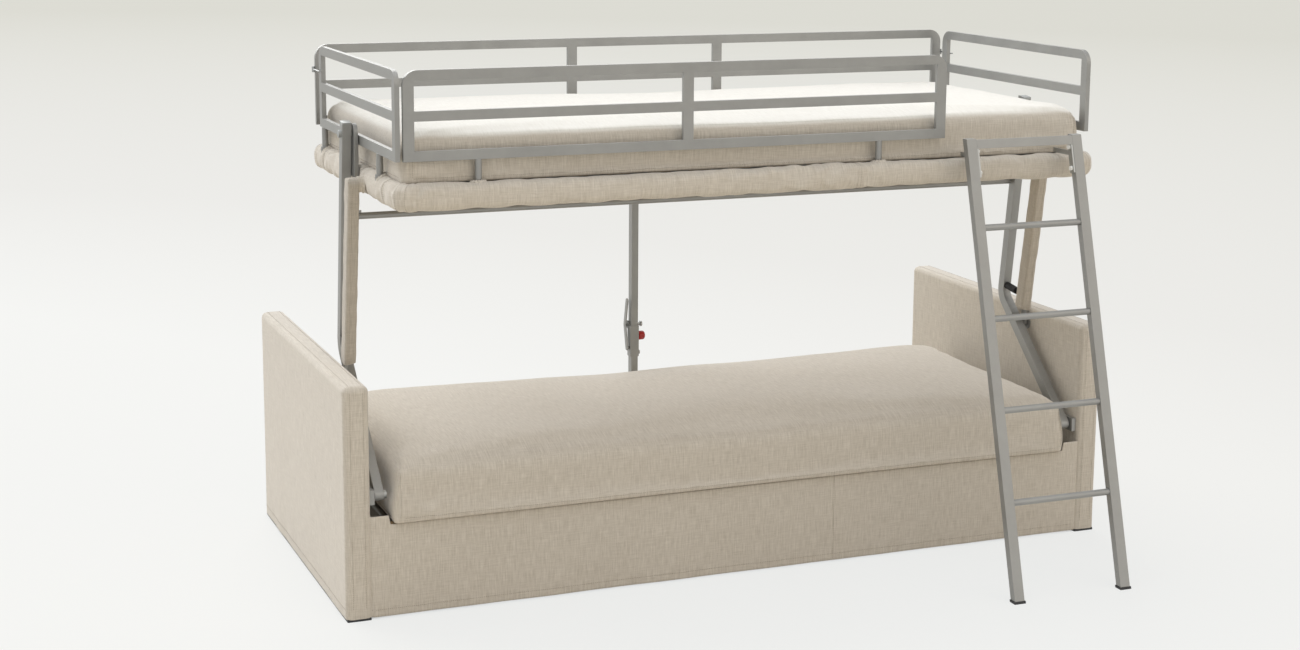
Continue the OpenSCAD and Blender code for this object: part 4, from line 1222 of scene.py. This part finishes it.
@dataclass
class LinkSleeve:
    """The linen sleeve round one link, with a gathered neck at its top that meets the roll."""

    side: Side
    wardrobe: Wardrobe
    stitch: Topstitch
    foot: tuple[float, float] = (287.0, 543.674)
    top: tuple[float, float] = (208.0, 1045.0)
    bare: float = 40.0
    over: float = 18.5
    slant: float = 6.0
    inner: float = 965.5
    outer: float = 997.5
    depth: float = 46.0
    roll_face: float = 954.0

    def build(self) -> None:
        """Makes the sleeve and its neck."""
        run = np.array([self.top[0] - self.foot[0], self.top[1] - self.foot[1]])
        length = float(np.linalg.norm(run))
        axis = run / length
        across = np.array([axis[1], -axis[0]])
        lo = (self.inner + 1, 1 - self.depth / 2, self.bare)
        hi = (self.outer - 1, self.depth / 2 - 1, length + self.over - 1)
        xs, ds = graded(lo[0], hi[0], 7, (), 2), graded(lo[1], hi[1], 8, (), 2)
        points, faces, cut = grid_box(xs, ds, graded(lo[2], hi[2], 9, (), 3))
        shaped = round_off(points, (lo[0], lo[1], lo[2] - 20), hi, 7)
        # the closed end is round in the side view
        over = shaped[:, 2] > length
        wide_share = shaped[:, 1] / (self.depth / 2 - 1)
        high_share = (shaped[:, 2] - length) / (self.over - 1)
        reach = np.maximum(np.hypot(wide_share, high_share), 1e-6)
        pull = np.where(over & (reach > 1), 1 / reach, 1.0)
        shaped[:, 1] *= pull
        shaped[:, 2] = np.where(over, length + (shaped[:, 2] - length) * pull, shaped[:, 2])
        # the foot is cut on a slant
        outwards = (shaped[:, 0] - self.inner) / (self.outer - self.inner)
        near_foot = np.clip(1 - (shaped[:, 2] - self.bare) / 60, 0, 1)
        shaped[:, 2] += self.slant * (1 - outwards) * near_foot
        middle = (self.inner + self.outer) / 2
        loose = ripple(shaped * np.array([1, 1, 2.0]), 60, 7.0 + self.side.value)
        shaped[:, 0] = middle + (shaped[:, 0] - middle) * (1 + 0.05 * loose)
        shaped[:, 1] *= 1 + 0.05 * loose
        x = self.side.value * np.clip(shaped[:, 0], self.inner + 0.4, self.outer - 0.4)
        y, z = (
            self.foot[a] + shaped[:, 1] * across[a] + shaped[:, 2] * axis[a] for a in (0, 1)
        )
        if self.side is Side.RIGHT:
            faces, cut = turned_over(faces, cut)
        name = f"link_sleeve_{self.side.word}"
        # painted shade: the sleeve's cloth is a darker copy of the linen, for the shade under the
        # bunk
        linen = self.wardrobe.sleeve_linen
        sleeve = cloth_piece(f"{name}_cloth", np.stack([x, y, z], 1), faces, cut, linen)
        face_outwards(sleeve)
        held = np.where((points[:, 2] < self.bare + 8) | (points[:, 2] > length), 1.0, 0.0)
        Settling(pressure=1.0, slack=0.02, cap_mm=1.8, bending=0.1).run(sleeve, held)
        smooth_once(sleeve)
        carry(sleeve, "side_links", Slot.LINEN, f"sleeve_{self.side.word}")
        back = self.depth / 2 + 3
        span = (self.bare + 6, length - 6)
        seam = [
            (
                self.side.value * (middle + 5),
                self.foot[0] - back * across[0] + reach * axis[0],
                self.foot[1] - back * across[1] + reach * axis[1],
            )
            for reach in span
        ]
        row = surface_row(sleeve, line_mm(*seam, (span[1] - span[0]) / 39))
        self.stitch.lay(f"{name}_seam", [row], "side_links")
        self.neck()

    def neck(self) -> None:
        """Makes the gathered neck in which the sleeve's top turns in towards the roll."""
        reach = self.inner - self.roll_face
        sides = [(19.5, -4), (20.5, 0), (19.6, 3), (18.8, reach / 2), (19.8, reach - 3)]
        profile = [(0, -4), *sides, (22.5, reach), (0, reach)]
        s = self.side.value

        def gather(angle: float, height: float) -> float:
            """Folds that deepen towards the roll."""
            share = max(0.0, height / reach)
            return share * (0.9 * math.cos(13 * angle + 1.0) + 0.5 * math.cos(7 * angle))

        start = spot(s * self.inner, *self.top)
        form = lathe(profile, start, Vector((-s, 0, 0)), 78, gather)
        name = f"link_sleeve_{self.side.word}_neck"
        piece = mesh_piece(name, form, self.wardrobe.linen, 70)
        cut_flat(piece, 0, 2)
        carry(piece, "side_links", Slot.LINEN)


@dataclass
class Eyelets:
    """Puckered linen collars round the guard rails' stubs, sewn like buttonholes."""

    wardrobe: Wardrobe
    stitch: Topstitch
    roll: Piece
    top: float = 1083.0
    hole: float = 9.4
    rim: float = 20.0
    turns: int = 66
    shoulder: tuple[float, float, float] = (950.0, -95.0, 760.0)
    front_places: tuple[float, ...] = (-744, 320)
    rear_places: tuple[float, ...] = (-700, 0, 700)
    end_places: tuple[float, ...] = (100, 668)

    def places(self) -> list[tuple[float, float]]:
        """Where the stubs stand: the front's and the rear's X, then both ends' Y."""
        found = [(x, -67) for x in self.front_places] + [(x, 741) for x in self.rear_places]
        return found + [(x, y) for x in (-939, 939) for y in self.end_places]

    def build(self) -> None:
        """Makes the collars and their stitches, laid over the roll's shoulders."""
        skin = self.roll.evaluated_get(bpy.context.evaluated_depsgraph_get())
        half_x, front, rear = self.shoulder
        form = bmesh.new()
        rows = []
        hole, rim = self.hole, self.rim
        profile = [(hole, -3.0), (hole, 2.4), (hole + 1.6, 4.6), (hole + 3.6, 4.8)]
        profile += [(rim - 2.6, 2.6), (rim, 0.2), (rim, -3.0)]
        thread = ((hole + 0.6, 4.4), (hole + 2.6, 5.6), (hole + 4.8, 4.6))
        for seed, (x, y) in enumerate(self.places()):

            def laid(radius: float, angle: float, height: float) -> Vector:
                """The point at a height over the roll's skin, kept on its shoulders."""
                px, py = x + radius * math.cos(angle), y + radius * math.sin(angle)
                px, py = max(-half_x, min(half_x, px)), max(front, min(rear, py))
                start = spot(px, py, self.top + 60)
                hit, place, _, _ = skin.ray_cast(start, Vector((0, 0, -1)))
                return spot(px, py, (place.z / MM if hit else self.top - 14) + height)

            rings = []
            for k, (radius, height) in enumerate(profile):
                ring = []
                for a in (2 * math.pi * t / self.turns for t in range(self.turns)):
                    fold = math.cos(11 * a + seed) * (0.7 if 1 < k < 6 else 0.0)
                    r = radius + (fold * 1.4 if k in (4, 5) else 0)
                    ring.append(form.verts.new(laid(r, a, height + fold)))
                rings.append(ring)
            for low, high in zip(rings, rings[1:] + rings[:1]):
                for t in range(self.turns):
                    n = (t + 1) % self.turns
                    form.faces.new([low[t], low[n], high[n], high[t]])
            for a in (2 * math.pi * t / 22 for t in range(22)):
                rows.append([laid(r, a, z) for r, z in thread])
        bmesh.ops.recalc_face_normals(form, faces=form.faces)
        collars = mesh_piece("rail_eyelet_collars", form, self.wardrobe.linen, 60)
        cut_flat(collars, 0, 1)
        carry(collars, "bunk", Slot.LINEN, "rail_eyelets")
        self.stitch.lay(
            "rail_eyelet_stitches", rows, "bunk", pitch_mm=1.5, length_mm=2.4, thread_mm=0.4
        )


@dataclass
class Knob:
    """The red release knob of the rear prop, with finger grooves round its grip."""

    wardrobe: Wardrobe
    shaft: float = 4.4
    grip_length: float = 20.0
    grooves: int = 10

    def build(self) -> None:
        """Turns the knob's form."""
        lo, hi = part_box("prop_release_knob")
        grip, length = (hi.z - lo.z) / 2 / MM, (hi.x - lo.x) / MM
        face = length - self.grip_length
        profile = [(0, 0), (self.shaft, 0), (self.shaft, face), (grip - 3, face)]
        profile += [(grip - 0.8, face + 1.5), (grip, face + 4), (grip, length - 6)]
        profile += [(grip - 1.2, length - 2.4), (grip - 4, length - 0.4)]
        profile += [(grip * 0.4, length), (0, length)]

        def flute(angle: float, height: float) -> float:
            """Depth of the finger grooves, none on the shaft and the ends."""
            if not face + 2 < height < length - 1.5:
                return 0.0
            return -0.9 * max(0.0, math.cos(angle * self.grooves)) ** 2

        start = Vector((lo.x, (lo.y + hi.y) / 2, (lo.z + hi.z) / 2))
        form = lathe(profile, start, Vector((1, 0, 0)), 60, flute)
        knob = mesh_piece("prop_release_knob_grip", form, self.wardrobe.red_plastic, 50)
        carry(knob, "prop_knob", Slot.RED_PLASTIC, "prop_release_knob")


def ease_steel(wardrobe: Wardrobe) -> None:
    """Copies the bars and tubes with eased edges, each edge's width in millimetres."""
    eased = (
        ("legs", 1.3, "leg_left leg_right"),
        ("side_links", 0.9, "link_left link_right"),
        ("bunk", 0.9, "bunk_pivot_plates"),
        ("front_rail", 1.2, "guard_rail_front"),
        ("rear_rail", 1.2, "guard_rail_rear"),
        ("left_rail", 1.2, "guard_rail_left"),
        ("right_rail", 1.2, "guard_rail_right"),
        ("ladder", 1.4, "ladder_rails"),
        ("ladder", 0.8, "ladder_top_bar"),
        ("prop_foot_half", 0.9, "prop_lower"),
        ("prop_head_half", 0.9, "prop_upper"),
        ("prop_lever", 0.5, "prop_lock_lever"),
    )
    for body, edge, nodes in eased:
        for node in nodes.split():
            piece = eased_copy(node, f"{node}_steel", wardrobe.grey_steel, edge)
            carry(piece, body, Slot.GREY_STEEL, node)


def dress_nodes(wardrobe: Wardrobe) -> None:
    """Gives every CAD node that stays the finish of its real material."""
    finishes = (
        (wardrobe.grey_steel, "base_bearers base_frame foot_pivot_brackets link_pivot_brackets"),
        (wardrobe.grey_steel, "prop_foot_bracket leg_crossbar bunk_frame rail_sockets"),
        (wardrobe.grey_steel, "ladder_rungs"),
        (wardrobe.bright_steel, "foot_pivot_pins leg_caps bunk_pivot_pins link_top_pins"),
        (wardrobe.bright_steel, "corner_hook_left corner_hook_right prop_knee_pin ladder_hooks"),
        (wardrobe.black_rubber, "base_feet stop_bumpers"),
        (wardrobe.slat, "seat_slats bunk_slats"),
        (wardrobe.board, "front_board rear_board"),
        (wardrobe.white_plastic, "ladder_bolts"),
        (wardrobe.black_plastic, "ladder_feet"),
    )
    for finish, nodes in finishes:
        for node in nodes.split():
            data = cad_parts[node].data
            data.materials.clear()
            data.materials.append(finish)


class Stage:
    """Floor, lights and camera of the studio."""

    def build(self) -> None:
        """Sets up the pale floor, the soft lamps, the world and the camera."""
        bpy.context.scene.view_settings.view_transform = "Standard"
        self.floor()
        self.world()
        self.sun("key_rear", (-0.2, 1.0, 0.78), 2.5, 65, "#FFFFFF")
        self.sun("ceiling_left", (-0.22, -0.1, 1.0), 0.95, 60, "#FBFCFF")
        self.sun("front_fill", (0.5, -1.0, 0.6), 0.55, 60, "#FFF1DF")
        self.camera()

    def floor(self) -> None:
        """The studio floor, wide enough for every view, its glow painted duller with distance
        where it runs into the wall: painted shade.
        """
        form = bmesh.new()
        bmesh.ops.create_grid(form, x_segments=2, y_segments=2, size=45)
        material, tree = blank_material("studio_floor_painted")
        look = {"Base Color": linear("#D6CFC2"), "Roughness": 0.9, "Specular IOR Level": 0.1}
        paint = add(tree, "BsdfPrincipled", look)
        # painted shade: the glow's tone darkens with distance, for the light falling off away
        # from the lamps
        place = add(tree, "TexCoord").outputs["Object"]
        ends = {0: place, 1: (-8.0, -2.0, 0.0)}
        far = add(tree, "VectorMath", ends, operation="DISTANCE").outputs["Value"]
        share = add(tree, "MapRange", {"Value": far, "From Max": 30.0})
        tone = add(tree, "ValToRGB", {"Fac": share})
        ramp(tone, (0.29, "#F6F8F8"), (0.39, "#EBECEB"), (0.72, "#DEDFDA"), (0.9, "#D6D7D0"))
        glow = add(tree, "Emission", {"Color": tone, "Strength": 1.0})
        # the glow fades where the sofa stands close over the floor, for its contact shadow
        cover = add(tree, "AmbientOcclusion", {"Distance": 0.09}, samples=12)
        span = {"From Min": 0.05, "From Max": 0.44, "To Min": 0.12, "To Max": 0.8}
        bare = add(tree, "MapRange", {"Value": cover.outputs["AO"]} | span)
        seen = add(tree, "Math", {0: self.seen(tree), 1: bare}, operation="MULTIPLY")
        mixed = add(tree, "MixShader", {0: seen, 1: paint, 2: glow})
        add(tree, "OutputMaterial", {"Surface": mixed})
        floor = mesh_piece("studio_floor", form, material)

    @staticmethod
    def seen(tree: Tree) -> bpy.types.Node:
        """One where the camera sees a surface itself, in a mirror or through glass."""
        rays = add(tree, "LightPath").outputs
        first = {0: rays["Is Camera Ray"], 1: rays["Is Glossy Ray"]}
        direct = add(tree, "Math", first, operation="MAXIMUM")
        both = {0: direct, 1: rays["Is Transmission Ray"]}
        return add(tree, "Math", both, operation="MAXIMUM")

    def world(self) -> None:
        """An even pale surround."""
        world = bpy.data.worlds.new("studio")
        bpy.context.scene.world = world
        world.use_nodes = True
        tree = world.node_tree
        tree.nodes.clear()
        light = add(tree, "Background", {"Color": linear("#F6F9FF"), "Strength": 0.5})
        shown = add(tree, "Background", {"Color": linear("#E9E9E8"), "Strength": 1.0})
        mixed = add(tree, "MixShader", {0: self.seen(tree), 1: light, 2: shown})
        add(tree, "OutputWorld", {"Surface": mixed})

    @staticmethod
    def sun(name: str, toward: Point, power: float, width_deg: float, tint: str) -> None:
        """Hangs a far, wide lamp, which lights the whole floor evenly.

        Args:
            name: The lamp's name.
            toward: Where it stands, seen from the sofa.
            power: Its power in watts to the square metre.
            width_deg: How wide it looks from the sofa.
            tint: Its colour.
        """
        data = bpy.data.lights.new(name, "SUN")
        data.energy, data.angle = power, math.radians(width_deg)
        data.color = linear(tint)[:3]
        lamp = placed(name, data)
        lamp.rotation_euler = (-Vector(toward)).to_track_quat("-Z", "Y").to_euler()

    @staticmethod
    def camera() -> None:
        """Puts the camera where the photograph's lines meet, for a frame of 1300 by 650."""
        focal_px, wide, shift_px = 2114.59, 1300.0, -65
        place = (-2.2096, -5.0693, 1.79447)
        yaw, pitch, roll = 0.3812, 0.18, 0.0062
        level = Vector((math.cos(yaw), -math.sin(yaw), 0))
        ahead = Vector((math.sin(yaw), math.cos(yaw), 0)) * math.cos(pitch)
        ahead.z = -math.sin(pitch)
        up = level.cross(ahead)
        right = level * math.cos(roll) + up * math.sin(roll)
        above = up * math.cos(roll) - level * math.sin(roll)
        data = bpy.data.cameras.new("photo_camera")
        data.sensor_width = 36
        data.lens = focal_px / wide * data.sensor_width
        data.shift_y = shift_px / wide
        data.clip_start, data.clip_end = 0.1, 100
        camera = placed("photo_camera", data)
        turn = Matrix((right, above, -ahead)).transposed()
        camera.matrix_world = Matrix.Translation(place) @ turn.to_4x4()
        bpy.context.scene.camera = camera


def mattresses(wardrobe: Wardrobe, stitch: Topstitch) -> tuple[Mattress, Mattress]:
    """The lower mattress and the upper one."""
    lower = Mattress(
        "lower_mattress_cover",
        "lower_mattress",
        "base",
        (-946, -12, 240.4),
        (946, 724, 379),
        27,
        24,
        Slot.LINEN,
        wardrobe.linen,
        stitch,
        Settling(pressure=3.0, slack=0.012, cap_mm=8),
        rear_fullness=14.0,
        corner_inset=12.0,
        corner_depth=4.2,
    )
    upper = Mattress(
        "upper_mattress_cover",
        "upper_mattress",
        "bunk",
        (-926, -55, 1078),
        (926, 728, 1193),
        9,
        30,
        Slot.PALE_LINEN,
        wardrobe.pale_linen,
        stitch,
        Settling(pressure=3.0, slack=0.015, cap_mm=8),
        seed=6.0,
        bed=(899, -42, 707, 1087.2),
    )
    return lower, upper


def main() -> None:
    """Builds the sofa bed's pieces in order."""
    logging.basicConfig(level=logging.INFO, format="%(name)s: %(message)s")
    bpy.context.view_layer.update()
    wardrobe = Wardrobe()
    stitch = Topstitch(wardrobe.thread)
    Stage().build()
    dress_nodes(wardrobe)
    for side in Side:
        Arm(side, wardrobe, stitch).build()
        LinkSleeve(side, wardrobe, stitch).build()
    GlideAndShadeStrips(wardrobe).build()
    Skirt(wardrobe, stitch).build()
    for mattress in mattresses(wardrobe, stitch):
        mattress.build()
    roll = PaddedRoll(wardrobe, stitch).build()
    Eyelets(wardrobe, stitch, roll).build()
    BackPanel(wardrobe, stitch).build()
    ease_steel(wardrobe)
    Knob(wardrobe).build()


if __name__ == "__main__":
    main()
